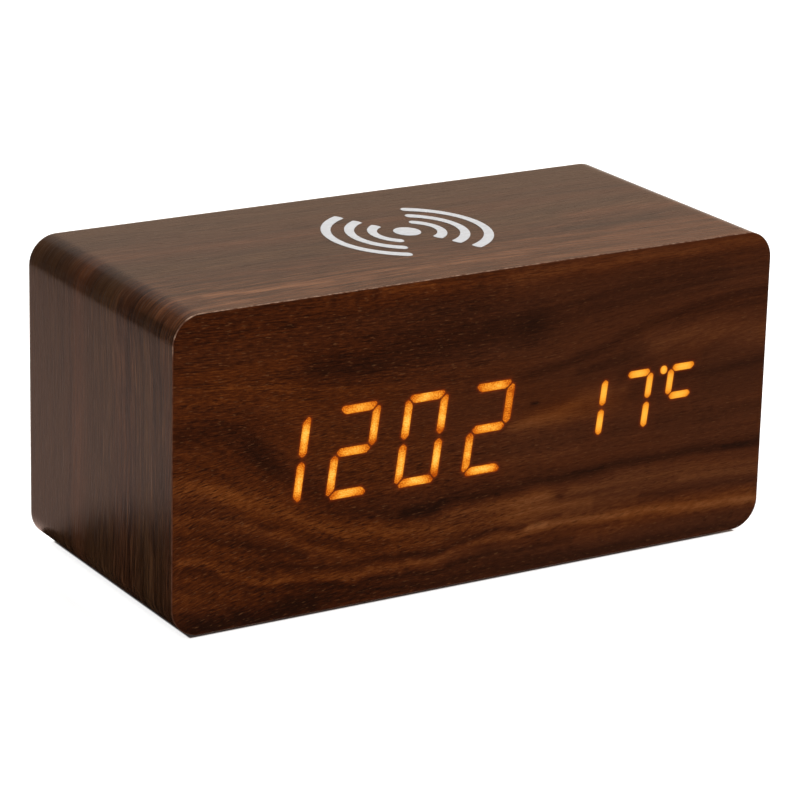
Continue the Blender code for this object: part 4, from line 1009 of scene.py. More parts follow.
def build_bars(items, y0, y1, spread=0.0):
    """Bars of several digits as one mesh, each with how near a point is to its lamp."""
    verts, faces, core, uv = [], [], [], []
    for start, end, outline, put, bright in items:
        if spread:
            outline = grow(outline, spread)
        v, f, c, t = bar_mesh(start, end, outline, put, y0, y1)
        base = len(verts)
        verts += v
        faces += [tuple(base + i for i in face) for face in f]
        core += [x * bright for x in c]
        uv += t
    mesh = mesh_from(verts, faces, "bars")
    face_out(mesh)
    mesh.attributes.new("core", "FLOAT", "POINT").data.foreach_set("value", np.array(core, np.float32))
    layer = mesh.uv_layers.new(name="bar")
    for loop in mesh.loops:
        layer.data[loop.index].uv = uv[loop.vertex_index]
    return mesh


def leaning(x0, z0, lean):
    return lambda x, z: (x0 + x + lean * z, z0 + z)


SHAPES = {"0": "abcdef", "1": "bc", "2": "abged", "7": "abc", "C": "afg"}
big_bars = bar_outlines(BIG["w"], BIG["h"], BIG["t"], 0.25, 1.15, 0.42, 0.40)
small_bars = bar_outlines(SMALL["w"], SMALL["h"], SMALL["t"], 0.14, 1.36, 0.28, 0.66)
# Lamps are never quite equally bright.
BRIGHT = {(0, "b"): 1.0, (0, "c"): 0.82, (1, "a"): 0.80, (1, "b"): 0.92, (1, "g"): 0.86, (1, "e"): 1.0, (1, "d"): 0.92,
          (2, "a"): 0.86, (2, "b"): 0.94, (2, "c"): 0.98, (2, "d"): 0.96, (2, "e"): 0.98, (2, "f"): 1.05,
          (3, "a"): 0.78, (3, "b"): 0.42, (3, "g"): 0.90, (3, "e"): 0.82, (3, "d"): 0.98}
big_items, small_items = [], []
for i, (x, ch) in enumerate(zip(BIG_X, "1202")):
    for key in SHAPES[ch]:
        a, b, outline = big_bars[key]
        big_items.append((a, b, outline, leaning(x, DIGIT_Z + BIG_RISE[i], BIG["lean"]), BRIGHT.get((i, key), 0.9)))
for x, ch in zip(SMALL_X, "17C"):
    for key in SHAPES[ch]:
        a, b, outline = small_bars[key]
        small_items.append((a, b, outline, leaning(x, SMALL_Z, SMALL["lean"]), 1.0))
dot = rounded_polygon(circle(0, 0, DEGREE[2], 16), 0.1)
small_items.append(((-1, 0), (1, 0), dot, leaning(DEGREE[0], DEGREE[1], 0.0), 1.0))

FILM_FACE = FY0 + 0.05                     # the front film's face, just behind the bars' face
place("lit_digits_large", build_bars(big_items, FY0 + 0.010, FILM_FACE + 0.03), "case", (), 40, [BAR_BIG])
place("lit_digits_small", build_bars(small_items, FY0 + 0.010, FILM_FACE + 0.03), "case", (), 40, [BAR_SMALL])
place("lit_rims", build_bars(big_items + small_items, FY0 + 0.030, FILM_FACE + 0.03, 0.14), "case", (), 40, [RIM])


# ================================================================ the front film
# The figure of the veneer: growth lines as (points, half width, strength), from the lower left corner. Two broad dark
# strokes at v 0.5 to 2 make the face darker towards its bottom edge. Dark lines are below 0.
GROWTH = [
    ([(0, 45.5), (8, 44.5), (15, 42), (20, 38), (25, 34)], 2.6, -0.62),
    ([(20, 38), (26, 32.5), (33, 27), (40, 22.5), (50, 19.5), (62, 18.5)], 2.4, -0.52),
    ([(55, 19.3), (70, 19), (85, 20), (97, 20.6), (110, 20.9), (128, 20.8), (150, 20.6)], 1.3, -0.95),
    ([(98, 21.0), (106, 21.1)], 0.5, -0.6),
    ([(139, 20.4), (146, 20.7)], 0.5, -0.6),
    ([(33, 55), (45, 54.5), (60, 55.5), (75, 56.5), (88, 57.5)], 4.0, -0.85),
    ([(88, 57.5), (105, 60), (120, 61), (136, 62)], 4.0, -0.40),
    ([(84, 45), (95, 46.8), (104, 48.6), (113, 51), (123, 53), (133, 55), (143, 56.4), (150, 57)], 1.5, -0.45),
    ([(100, 44), (110, 44.6), (116, 46)], 1.6, -0.5),
    ([(118, 12.2), (134, 11.8), (150, 11.6)], 0.9, -0.7),
    ([(0, 1.5), (40, 2.0), (90, 1.5), (150, 1.0)], 2.4, -0.8),
    ([(0, 22.6), (5, 22), (12, 19.4), (18, 17), (24, 14.6), (31, 12.2)], 0.75, -0.62),
    ([(2, 15.6), (8, 13.9), (13.3, 11.9), (20, 8.8), (30, 6.1), (40, 5.0), (60, 4.6), (80, 5.0), (100, 5.2)], 0.7, -0.72),
    ([(16.7, 13.7), (23.3, 12.2), (30, 10.2), (40, 9.2), (50, 9.4), (62, 9.0), (72, 8.8)], 0.65, -0.58),
    ([(28, 16.2), (37, 15), (42, 12.8), (50, 12)], 0.9, -0.5),
    ([(20, 21.2), (23.5, 19.8)], 0.8, -0.7),
    ([(73, 9.6), (80, 10.7), (86, 10.2), (96, 11.6)], 0.5, -0.7),
    ([(88, 38.7), (89.4, 38.6)], 0.35, -1.6),
    ([(78.2, 18.6), (79, 18.5)], 0.35, -1.2),
    ([(64, 19.9), (65.2, 19.8)], 0.4, -0.9),
    ([(95, 16.1), (96.4, 15.9)], 0.4, -0.9),
    ([(124, 39.5), (136, 39.3), (150, 39.8)], 1.0, -0.4),
    ([(110, 38), (113, 43), (118, 44)], 1.4, -0.35),
    ([(0, 53), (15, 52), (25, 48), (31, 43), (36, 37), (42, 32), (52, 28), (65, 27)], 3.4, 0.22),
    ([(0, 66), (75, 66)], 6.0, -0.30),
    ([(85, 13), (110, 11), (150, 9)], 7.0, 0.50),
    ([(0, 0.5), (34, 0.5)], 5.0, -0.75),
    ([(88, 33), (100, 35.2), (110, 36.2)], 2.6, 0.45),
    ([(0, 33.5), (6, 32.6), (13, 30.5), (19, 27), (26, 22.6), (33, 19.2), (40, 16.8), (50, 15.4), (64, 15.3), (80, 15.8), (92, 16.2)], 2.0, 0.85),
    ([(0, 27), (8, 25.6), (15, 22.8), (22, 18.8), (30, 14.8), (38, 12.6), (50, 11.6), (65, 12), (85, 13.2), (104, 13.8)], 1.2, 0.55),
    ([(0, 17.4), (10, 14.6), (16.7, 10.9), (26.7, 8.0), (36.7, 6.9), (50, 6.7), (62, 7.2), (80, 8.3), (92, 9.3)], 1.0, 0.80),
    ([(88, 10.0), (102, 9.7), (114, 8.8), (126, 7.9), (138, 7.1), (150, 6.9)], 1.25, 1.0),
    ([(0, 10), (6, 8.5), (14, 5.5)], 2.0, 0.35),
    ([(50, 68.3), (62, 68.6)], 1.1, 0.5),
    ([(84, 67), (100, 67.4), (120, 68), (150, 68.4)], 1.0, 0.35),
    ([(0, 68), (50, 68.5), (150, 69)], 2.2, 0.20),
    ([(118, 47.6), (126, 48.2), (138, 48.6), (150, 47)], 3.8, 0.62),
    ([(84, 33.8), (93, 36), (102, 38), (112, 38.4)], 1.6, 0.70),
    ([(98, 17.3), (120, 16.6), (150, 16.2)], 0.9, 0.5),
    ([(128, 14.7), (150, 14.2)], 0.8, 0.6),
    ([(70, 24), (85, 26), (100, 27)], 2.2, 0.25),
]


def figure_fields(u, v):
    """At points of the front face: how dark the figure is, how warm, and the two grain coordinates."""
    wob_u = 1.6 * np.sin(v * 0.21 + 0.7) + 0.9 * np.sin(v * 0.47 + u * 0.05 + 2.0)
    wob_v = 0.55 * np.sin(u * 0.13 + v * 0.05) + 0.38 * np.sin(u * 0.29 + 1.3 + v * 0.11) + 0.22 * np.sin(u * 0.61 + 0.4)
    calm = 1 - 0.65 * smooth_step(u, 70, 112)
    uu, vv = u + wob_u * calm, v + wob_v * calm
    tone = stroke_sum(uu, vv, GROWTH, 2)
    warm = 0.92 - 0.85 * smooth_step(u + 0.25 * v, 40, 115)
    warm = warm + 0.55 * np.exp(-((v - 69) / 3.5) ** 2) + 0.55 * np.exp(-((u - 125) / 45.0) ** 2 - ((v - 8.5) / 3.0) ** 2)
    warm = warm + 0.5 * np.exp(-((u - 98) / 14.0) ** 2 - ((v - 36) / 4.0) ** 2)
    # Growth bands sweep down from the left edge and run level on the right.
    fall = 27.0 * np.exp(-((u + 3) / 30.0) ** 2)
    low = 1 - smooth_step(v, 44, 60)
    rise = 9.0 * smooth_step(u, 80, 150) * np.exp(-((v - 52) / 11.0) ** 2)
    F = v - fall * low - rise + 0.5 * np.sin(u * 0.08 + v * 0.12)
    # Pores cross the bands in the lower left, and follow the grain elsewhere.
    climb = 0.30 * 34.0 * (1 - np.exp(-np.clip(u, 0, None) / 34.0)) * (1 - smooth_step(v, 30, 44))
    dip = -0.075 * 40.0 * (1 - np.exp(-u / 40.0)) * smooth_step(v, 40, 50)
    swing = 0.06 * (u - 60) * np.exp(-((v - 12) / 8.0) ** 2) * smooth_step(u, 60, 80)
    P = v - climb - dip - swing - rise * 0.7
    return tone, warm, F, P


def glow_field(x, z):
    """How near a point of the film is to a lit bar."""
    d = np.full_like(x, 1e9)
    for start, end, outline, put, bright in big_items + small_items:
        pts = [put(*p) for p in outline]
        inside = np.ones_like(x, bool)
        area = sum(pts[i][0] * pts[(i + 1) % len(pts)][1] - pts[(i + 1) % len(pts)][0] * pts[i][1] for i in range(len(pts)))
        way = 1 if area > 0 else -1
        near = np.full_like(x, 1e9)
        for a, b in zip(pts, pts[1:] + pts[:1]):
            near = np.minimum(near, segment_distance(x, z, a, b))
            inside &= way * ((b[0] - a[0]) * (z - a[1]) - (b[1] - a[1]) * (x - a[0])) >= 0
        near[inside] = 0
        d = np.minimum(d, near)
    return np.exp(-(d / 0.32) ** 1.5) * 0.75 + 0.14 * np.exp(-(d / 2.2) ** 1.5)


def build_front():
    chamfer = 0.12
    columns = 300
    half_w, half_h, r = HALF_W - chamfer, HALF_H - chamfer, CORNER_R - chamfer
    levels = []
    for k in range(18, 0, -1):
        a = math.radians(90 * k / 18)
        levels.append((-(half_h - r) - r * math.sin(a), half_w - r + r * math.cos(a)))
    straight = 2 * (half_h - r)
    steps = int(round(straight / 0.5))
    levels += [(-(half_h - r) + straight * k / steps, half_w) for k in range(steps + 1)]
    for k in range(1, 19):
        a = math.radians(90 * k / 18)
        levels.append(((half_h - r) + r * math.sin(a), half_w - r + r * math.cos(a)))
    verts = []
    for z, reach in levels:
        for c in range(columns + 1):
            verts.append((X_MID + reach * (2 * c / columns - 1), FILM_FACE, Z_MID + z))
    per = columns + 1
    faces = []
    for k in range(len(levels) - 1):
        for c in range(columns):
            faces.append((k * per + c, k * per + c + 1, (k + 1) * per + c + 1, (k + 1) * per + c))
    slots = [0] * len(faces)
    # Round the face: a narrow chamfer, the cut edge and the back.
    last = (len(levels) - 1) * per
    rim = list(range(per)) + [k * per + columns for k in range(1, len(levels))] + [last + c for c in range(columns - 1, -1, -1)] + \
          [k * per for k in range(len(levels) - 2, 0, -1)]
    n = len(rim)
    previous = rim
    for grow_by, y in ((chamfer, FILM_FACE + chamfer * 0.8), (chamfer, FY1 + 0.02)):
        ring = []
        for i in rim:
            x, _, z = verts[i]
            dx, dz = x - X_MID, z - Z_MID
            cx = max(-(half_w - r), min(half_w - r, dx))
            cz = max(-(half_h - r), min(half_h - r, dz))
            nx, nz = dx - cx, dz - cz
            length = math.hypot(nx, nz)
            ring.append(len(verts))
            verts.append((x + nx / length * grow_by, y, z + nz / length * grow_by))
        for k in range(n):
            j = (k + 1) % n
            faces.append((previous[k], ring[k], ring[j], previous[j]))
            slots.append(1)
        previous = ring
    faces.append(tuple(previous))
    slots.append(1)
    mesh = mesh_from(verts, faces, "front_veneer", slots)
    face_out(mesh)
    co = np.empty(len(mesh.vertices) * 3, np.float32)
    mesh.vertices.foreach_get("co", co)
    co = co.reshape(-1, 3) / MM
    u, v = (co[:, 0] - WX0).astype(float), (co[:, 2] - WZ0).astype(float)
    tone, warm, F, P = figure_fields(u, v)
    glow = glow_field(co[:, 0].astype(float), co[:, 2].astype(float))
    for name, values in (("tone", tone), ("warm", warm), ("glow", glow)):
        mesh.attributes.new(name, "FLOAT", "POINT").data.foreach_set("value", values.astype(np.float32))
    index = np.empty(len(mesh.loops), np.int32)
    mesh.loops.foreach_get("vertex_index", index)
    for name, across in (("figure", F), ("pores", P)):
        layer = mesh.uv_layers.new(name=name)
        layer.data.foreach_set("uv", np.stack([u[index], across[index]], 1).astype(np.float32).ravel())
    return mesh


place("front_veneer", build_front(), "case", ["front_film"], 40, [FRONT, EDGE])


# ================================================================ the printed charging mark
MARK_X, MARK_Y = 1.0, 0.7


def arc_band(radius, half, a0, a1, cap0, cap1, z0, z1, n=48, ways=4):
    """A stroke along an oval arc, in degrees. radius and half, its half width, are given along X and along Y; a cap is how far an end bulges, in half widths."""
    stations = []
    sign = 1 if a1 > a0 else -1
    size, width = (radius[0] + radius[1]) / 2, (half[0] + half[1]) / 2

    def cap(angle, depth, way, order):
        for k in order:
            t = math.pi / 2 * k / 8
            stations.append((angle + way * math.degrees(depth * width * math.cos(t) / size), max(math.sin(t), 1e-3)))

    cap(a0, cap0, -sign, range(8))
    for k in range(n + 1):
        stations.append((a0 + (a1 - a0) * k / n, 1.0))
    cap(a1, cap1, sign, range(7, -1, -1))
    verts, faces = [], []
    per = ways + 1
    for z in (z1, z0):
        for a, w in stations:
            for j in range(per):
                q = w * (2 * j / ways - 1)
                verts.append((MARK_X + (radius[0] + q * half[0]) * math.cos(math.radians(a)), MARK_Y + (radius[1] + q * half[1]) * math.sin(math.radians(a)), z))
    m = len(stations)
    total = m * per
    for k in range(m - 1):
        for j in range(ways):
            a, b, c, d = k * per + j, (k + 1) * per + j, (k + 1) * per + j + 1, k * per + j + 1
            faces += [(a, b, c, d), (total + d, total + c, total + b, total + a)]
    ring = list(range(per)) + [k * per + ways for k in range(1, m)] + [(m - 1) * per + j for j in range(ways - 1, -1, -1)] + [k * per for k in range(m - 2, 0, -1)]
    for a, b in zip(ring, ring[1:] + ring[:1]):
        faces.append((a, b, total + b, total + a))
    return face_out(mesh_from(verts, faces))


def build_mark():
    z0, z1 = WZ1 - SKIN_IN - 0.01, WZ1
    dot = turned([(0, z1), (2.87, z1), (2.95, z1 - 0.01), (2.95, z0), (0, z0)], (0, 0, 0), "Z", 64)
    for v in dot.vertices:
        v.co = (v.co.x + MARK_X * MM, v.co.y * 1.16 + MARK_Y * MM, v.co.z)
    parts = [dot]
    half = (0.98, 1.40)
    for radius, top_r, low_r, top_l, low_l in (((7.70, 7.82), 47, -61, 121, 225), ((12.66, 13.10), 55, -64, 118, 233.5), ((17.80, 18.42), 59, -65, 116, 238)):
        parts.append(arc_band(radius, half, low_r, top_r, 0.35, 1.0, z0, z1))
        parts.append(arc_band(radius, half, top_l, low_l, 0.35, 1.0, z0, z1))
    return join_meshes([(m, 0) for m in parts])


place("charging_mark", build_mark(), "case", (), 40, [INK])


# ================================================================ the board sleeve, as seen round the rear
def build_sleeve():
    """Four walls of board with rounded rims: outer and inner outlines with the same number of points."""
    n = 14
    skin = 0.62
    (sx0, sy0, sz0), (sx1, sy1, sz1) = box_mm("case_sleeve")
    x0, x1, z0, z1 = WX0 + skin, WX1 - skin, WZ0 + skin, WZ1 - skin
    outer = round_rect(x0, x1, z0, z1, CORNER_R - skin, n)
    wall = 4.53
    inner = round_rect(x0 + wall, x1 - wall, z0 + wall, z1 - wall, 1.5, n)
    e = 0.35
    rows = [(outer, 0, sy0), (outer, 0, sy1 - e), (outer, e * 0.3, sy1 - e * 0.3), (outer, e, sy1), (inner, -e, sy1), (inner, -e * 0.3, sy1 - e * 0.3),
            (inner, 0, sy1 - e), (inner, 0, sy0)]
    verts = []
    count = len(outer)
    for line, pull, y in rows:
        for i, (x, z) in enumerate(line):
            other = inner[i] if line is outer else outer[i]
            if pull:
                dx, dz = other[0] - x, other[1] - z
                d = math.hypot(dx, dz)
                k = pull if line is outer else -pull
                x, z = x + dx / d * k, z + dz / d * k
            verts.append((x, y, z))
    faces = []
    for r in range(len(rows)):
        q = (r + 1) % len(rows)
        for i in range(count):
            j = (i + 1) % count
            faces.append((r * count + i, r * count + j, q * count + j, q * count + i))
    return face_out(mesh_from(verts, faces))


place("board_sleeve", build_sleeve(), "case", ["case_sleeve"], 40, [BOARD_DARK], even=True)

# ================================================================ feet
for name in ("foot_front_left", "foot_front_right", "foot_back_left", "foot_back_right"):
    low, high = box_mm(name)
    x, y = (low[0] + high[0]) / 2, (low[1] + high[1]) / 2
    r, top = (high[0] - low[0]) / 2, WZ0 + SKIN_IN
    profile = arc_profile([(0, top), (r - 0.3, top), (r, top - 0.2), (r - 0.1, 0.25), (r - 0.45, 0), (1.6, 0), (1.2, 0.25), (0, 0.25)], 0.15, 3)
    place("pad_" + name, turned(profile, (x, y, 0), "Z", 56), "case", [name], 50, [RUBBER])

# ================================================================ rear cover
BUTTON_X, BUTTON_Z = (15.0, 31.0, 47.0), 49.0
SWITCH_X, SWITCH_Z, TRAVEL = 52.0, 17.0, 2.0
USB_X, USB_Z = 31.0, 17.0
BUZZER_X, BUZZER_Z, MIC_X, MIC_Z = 51.0, 33.0, 12.0, 33.0
VENT_X, VENT_Z = 12.0, 17.0
TUB_X0, TUB_X1, TUB_Z0, TUB_Z1, TUB_FLOOR = -61.0, -9.0, 14.2, 49.8, 18.3
SCREW_X, SCREW_ZS = 66.3, (9.7, 62.3)
HINGE_Y, HINGE_Z = 30.85, 13.2
DOOR = (-63.0, -7.0, 13.2, 51.8)
SEAT = (DOOR[0] - 0.3, DOOR[1] + 0.3, HINGE_Z - 1.3, DOOR[3] + 0.3)


def door_hole(r=0.5):
    """The opening for the door, with a finger notch in its upper edge and a notch for each hinge pin."""
    x0, x1, z0, z1 = SEAT
    mid = (DOOR[0] + DOOR[1]) / 2
    pts = [(x0 + 0.3, z0), (x1 - 0.3, z0), (x1, z0 + 0.3), (x1, HINGE_Z - 0.9), (x1 + 1.4, HINGE_Z - 0.9), (x1 + 1.4, HINGE_Z + 0.9), (x1, HINGE_Z + 0.9),
           (x1, z1 - r), (x1 - r, z1)]
    reach = math.sqrt(6.0 ** 2 - (z1 - (DOOR[3] - 1.5)) ** 2)
    pts.append((mid + reach, z1))
    start = math.atan2(z1 - (DOOR[3] - 1.5), reach)
    for k in range(1, 16):
        a = start + (math.pi - 2 * start) * k / 16
        pts.append((mid + 6.0 * math.cos(a), DOOR[3] - 1.5 + 6.0 * math.sin(a)))
    pts.append((mid - reach, z1))
    pts += [(x0 + r, z1), (x0, z1 - r), (x0, HINGE_Z + 0.9), (x0 - 1.4, HINGE_Z + 0.9), (x0 - 1.4, HINGE_Z - 0.9), (x0, HINGE_Z - 0.9), (x0, z0 + 0.3)]
    return pts


def build_cover():
    y1 = COVER_Y1
    y0 = y1 - COVER_T
    edge = round_rect(CX0, CX1, CZ0, CZ1, 1.3, 8)
    common = [circle(x, BUTTON_Z, 3.6, 56) for x in BUTTON_X]
    common.append(round_rect(SWITCH_X - 1.3, SWITCH_X + TRAVEL + 1.3, SWITCH_Z - 1.5, SWITCH_Z + 1.5, 0.4, 4))
    common.append(round_rect(USB_X - 4.9, USB_X + 4.9, USB_Z - 2.0, USB_Z + 2.0, 1.95, 12))
    for i in range(7):
        a = 2 * math.pi * i / 6
        r = 0.0 if i == 6 else 3.0
        common.append(circle(BUZZER_X + r * math.cos(a), BUZZER_Z + r * math.sin(a), 0.65, 24))
    common.append(circle(MIC_X, MIC_Z, 0.65, 24))
    for i in range(5):
        z = VENT_Z - 4.0 + 2.0 * i
        common.append(round_rect(VENT_X - 4.0, VENT_X + 4.0, z - 0.5, z + 0.5, 0.45, 5))
    seats = [(sx * SCREW_X, z) for sx in (-1, 1) for z in SCREW_ZS]
    outer = plate([edge, door_hole()] + common + [circle(x, z, 2.6, 40) for x, z in seats], y1 - 1.25, y1, 0.18, 2)
    tub = round_rect(TUB_X0, TUB_X1, TUB_Z0, TUB_Z1, 0.6, 4)
    back = plate([edge, tub] + common + [circle(x, z, 1.5, 32) for x, z in seats], y0, y1 - 1.95, 0.08, 1)
    # Between the two layers the door has its seat, and each screw its counterbore.
    middle = plate([edge, round_rect(SEAT[0], SEAT[1], SEAT[2], SEAT[3], 0.5, 4)] + common + [circle(x, z, 2.6, 40) for x, z in seats], y1 - 2.02, y1 - 1.2, 0.02, 1)
    parts = [outer, middle, back]
    # The tub: walls drawn out from the cover, a floor, and ribs that part the cells.
    wall = plate([round_rect(TUB_X0 - 1.4, TUB_X1 + 1.4, TUB_Z0 - 1.4, TUB_Z1 + 1.4, 1.6, 6), tub], TUB_FLOOR - 1.4, y0 + 0.05, 0.1, 1)
    floor = plate([round_rect(TUB_X0 - 1.0, TUB_X1 + 1.0, TUB_Z0 - 1.0, TUB_Z1 + 1.0, 1.2, 6)], TUB_FLOOR - 1.35, TUB_FLOOR, 0.1, 1)
    parts += [wall, floor]
    for k in (-0.5, 0.5):
        z = (TUB_Z0 + TUB_Z1) / 2 + k * 11.8
        parts.append(block((TUB_X0 + 9, TUB_X1 - 9), (TUB_FLOOR - 0.3, TUB_FLOOR + 2.4), (z - 0.55, z + 0.55), 0.2))
    # Posts and pins that carry the main board.
    for x in (7.5, 58.5):
        for z in (25.0, 54.5):
            parts.append(turned(arc_profile([(0, y0 + 0.1), (2.4, y0 + 0.1), (2.4, 21.9), (1.0, 21.9), (1.0, 18.7), (0.7, 18.4), (0, 18.4)], 0.1, 2), (x, 0, z), "Y", 32))
    return join_meshes([(m, 0) for m in parts])


place("back_panel", build_cover(), "case", ["rear_cover"], 40, [ABS_COVER], even=True)


def build_pictograms():
    """Small printed marks beside the controls: plain signs only."""
    y0, y1 = COVER_Y1 - 0.05, COVER_Y1 + 0.06
    z = BUTTON_Z + 6.2
    parts = []
    # A dot in a ring over the setting key, an arrow head up and one down over the others.
    x = BUTTON_X[0]
    parts.append(plate([circle(x, z, 1.35, 40), circle(x, z, 0.95, 40)], y0, y1, 0.05, 1))
    parts.append(plate([circle(x, z, 0.42, 24)], y0, y1, 0.05, 1))
    for x, way in ((BUTTON_X[1], 1), (BUTTON_X[2], -1)):
        tri = [(x - 1.35, z - 0.85 * way), (x + 1.35, z - 0.85 * way), (x, z + 1.15 * way)]
        if way < 0:
            tri = tri[::-1]
        parts.append(plate([rounded_polygon(tri, 0.25, 3)], y0, y1, 0.05, 1))
    # Sound waves over the switch: off to one side, on to the other.
    z = SWITCH_Z + 3.6
    parts.append(plate([round_rect(SWITCH_X - 1.7, SWITCH_X - 0.2, z - 0.18, z + 0.18, 0.15, 3)], y0, y1, 0.05, 1))
    for r in (0.75, 1.45):
        outline = [(SWITCH_X + 1.9 + (r + 0.17) * math.cos(math.radians(a)), z + (r + 0.17) * math.sin(math.radians(a))) for a in range(-50, 51, 10)]
        outline += [(SWITCH_X + 1.9 + (r - 0.17) * math.cos(math.radians(a)), z + (r - 0.17) * math.sin(math.radians(a))) for a in range(50, -51, -10)]
        parts.append(plate([outline], y0, y1, 0.04, 1))
    return join_meshes([(m, 0) for m in parts])


place("panel_signs", build_pictograms(), "case", (), 40, [KEY_PRINT])

# ================================================================ battery door
def build_door():
    x0, x1, z0, z1 = DOOR
    slots_x = (-46.0, -24.0)
    top = z1
    cut_z = z1 - 14.0
    # The outline runs round the two slots that free the latch.
    outline = [(x0, z0 + 0.2), (x0 + 0.1, z0), (x1 - 0.1, z0), (x1, z0 + 0.2), (x1, top - 0.5), (x1 - 0.5, top)]
    for x in slots_x[::-1]:
        outline += [(x + 0.4, top), (x + 0.4, cut_z + 0.3), (x + 0.2, cut_z), (x - 0.2, cut_z), (x - 0.4, cut_z + 0.3), (x - 0.4, top)]
    outline += [(x0 + 0.5, top), (x0, top - 0.5)]
    grips = [round_rect(-41.0, -29.0, z1 - 5.5 - 1.8 * i - 0.45, z1 - 5.5 - 1.8 * i + 0.45, 0.4, 5) for i in range(4)]
    parts = [plate([outline], DY0, DY1 - 0.5, 0.06, 1), plate([outline] + grips, DY1 - 0.56, DY1, 0.14, 2)]
    mid = (x0 + x1) / 2
    barrel = arc_profile([(0, (x1 - x0) / 2 - 0.02), (0.79, (x1 - x0) / 2 - 0.02), (0.79, -(x1 - x0) / 2 + 0.02), (0, -(x1 - x0) / 2 + 0.02)], 0.12, 3)
    pins = arc_profile([(0, (x1 - x0) / 2 + 1.2), (0.5, (x1 - x0) / 2 + 1.2), (0.5, -(x1 - x0) / 2 - 1.2), (0, -(x1 - x0) / 2 - 1.2)], 0.12, 3)
    parts += [turned(barrel, (mid, HINGE_Y, HINGE_Z), "X", 32), turned(pins, (mid, HINGE_Y, HINGE_Z), "X", 24)]
    # Two ribs inside stiffen the door.
    for z in (22.0, 36.0):
        parts.append(block((x0 + 4, x1 - 4), (DY0 - 0.22, DY0 + 0.1), (z - 0.4, z + 0.4), 0.08))
    return join_meshes([(m, 0) for m in parts])


place("door_panel", build_door(), "battery_door", ["battery_door"], 40, [ABS_DOOR], even=True)

# ================================================================ buttons and switch
for name, x in zip(("set_button", "up_button", "down_button"), BUTTON_X):
    low, high = box_mm(name)
    y0, y1 = low[1], high[1]
    flange = COVER_Y1 - COVER_T - 0.3
    dish = [(0, y1 - 0.34), (0.9, y1 - 0.32), (1.8, y1 - 0.22), (2.5, y1 - 0.06), (2.8, y1), (3.05, y1 - 0.03), (3.22, y1 - 0.16), (3.3, y1 - 0.4)]
    lower = arc_profile([(3.3, y1 - 0.4), (3.3, flange), (4.6, flange), (4.6, flange - 0.9), (1.6, flange - 0.9), (1.6, y0), (0, y0)], 0.15, 3)
    place("key_" + name, turned(dish + lower[1:], (x, 0, BUTTON_Z), "Y", 72), name, [name], 40, [ABS_KEY])


def build_knob():
    low, high = box_mm("sound_switch_knob")
    x, z = (low[0] + high[0]) / 2, (low[2] + high[2]) / 2
    y1 = high[1]
    parts = [block((x - 1.0, x + 1.0), (COVER_Y1 - COVER_T - 0.8, y1 - 0.25), (z - 1.2, z + 1.2), 0.15, 3),
             block((x - 0.8, x + 0.8), (low[1], COVER_Y1 - COVER_T - 0.6), (z - 0.7, z + 0.7), 0.1, 2)]
    for k in (-1, 0, 1):
        parts.append(block((x + 0.62 * k - 0.17, x + 0.62 * k + 0.17), (y1 - 0.4, y1), (z - 1.12, z + 1.12), 0.08, 2))
    return join_meshes([(m, 0) for m in parts])


place("switch_grip", build_knob(), "sound_switch_knob", ["sound_switch_knob"], 40, [ABS_KEY], even=True)


# ================================================================ charging inlet
def build_usb():
    low, high = box_mm("usb_shell")
    x0, x1, z0, z1 = low[0], high[0], low[2], high[2]
    y0, y1 = low[1], high[1]
    outer, inner = round_rect(x0, x1, z0, z1, 1.6, 12), round_rect(x0 + 0.3, x1 - 0.3, z0 + 0.3, z1 - 0.3, 1.3, 12)
    return join_meshes([(plate([outer, inner], y0 + 0.2, y1, 0.1, 2), 0), (plate([outer], y0, y0 + 0.4, 0.05, 1), 0)])


def build_tongue():
    low, high = box_mm("usb_tongue")
    y0, y1 = low[1], high[1]
    parts = [(plate([round_rect(USB_X - 3.8, USB_X + 3.8, USB_Z - 1.0, USB_Z + 1.0, 0.9, 6)], y0, y0 + 2.7, 0.1, 2), 0),
             (block((USB_X - 3.3, USB_X + 3.3), (y0 + 2.4, y1), (USB_Z - 0.35, USB_Z + 0.35), 0.12, 2), 0)]
    for k in range(12):
        x = USB_X - 2.75 + 0.5 * k
        for s in (-1, 1):
            parts.append((block((x - 0.13, x + 0.13), (y0 + 2.7, y1 - 0.5), tuple(sorted((USB_Z + s * 0.30, USB_Z + s * 0.37))), 0.0), 1))
    return join_meshes(parts)


place("inlet_shell", build_usb(), "case", ["usb_shell"], 40, [STEEL], even=True)
place("inlet_tongue", build_tongue(), "case", ["usb_tongue"], 40, [EPOXY, GOLD])


# ================================================================ cover screws
def build_screw(node):
    low, high = box_mm(node)
    x, z = (low[0] + high[0]) / 2, (low[2] + high[2]) / 2
    top, seat, tip = high[1], high[1] - 1.1, low[1]
    dome = [(0, top - 0.0)] + [(2.2 * math.sin(math.radians(a)), seat + 0.30 + 0.80 * math.cos(math.radians(a))) for a in range(8, 91, 8)]
    profile = dome + [(2.2, seat), (1.1, seat), (1.1, tip + 1.0), (0, tip)]
    head = turned(profile, (x, 0, z), "Y", 48)
    # A cross recess with walls that taper inwards.
    cuts = []
    for turn in (0, 90):
        bm = bmesh.new()
        bmesh.ops.create_cube(bm, size=1.0)
        for v in bm.verts:
            deep = v.co.y < 0
            v.co.x *= 1.0 if deep else 2.5
            v.co.z *= 0.28 if deep else 0.5
            v.co.y = -0.75 if deep else 0.3
        bmesh.ops.rotate(bm, verts=bm.verts, cent=(0, 0, 0), matrix=Matrix.Rotation(math.radians(turn), 3, "Y"))
        for v in bm.verts:
            v.co = (Vector((x, top, z)) + v.co) * MM
        mesh = bpy.data.meshes.new("cut")
        bm.to_mesh(mesh)
        bm.free()
        cuts.append(mesh)
    return boolean(head, cuts)


for node in ("cover_screw_low_left", "cover_screw_high_left", "cover_screw_low_right", "cover_screw_high_right"):
    place("head_" + node, build_screw(node), "case", [node], 30, [STEEL_DARK])

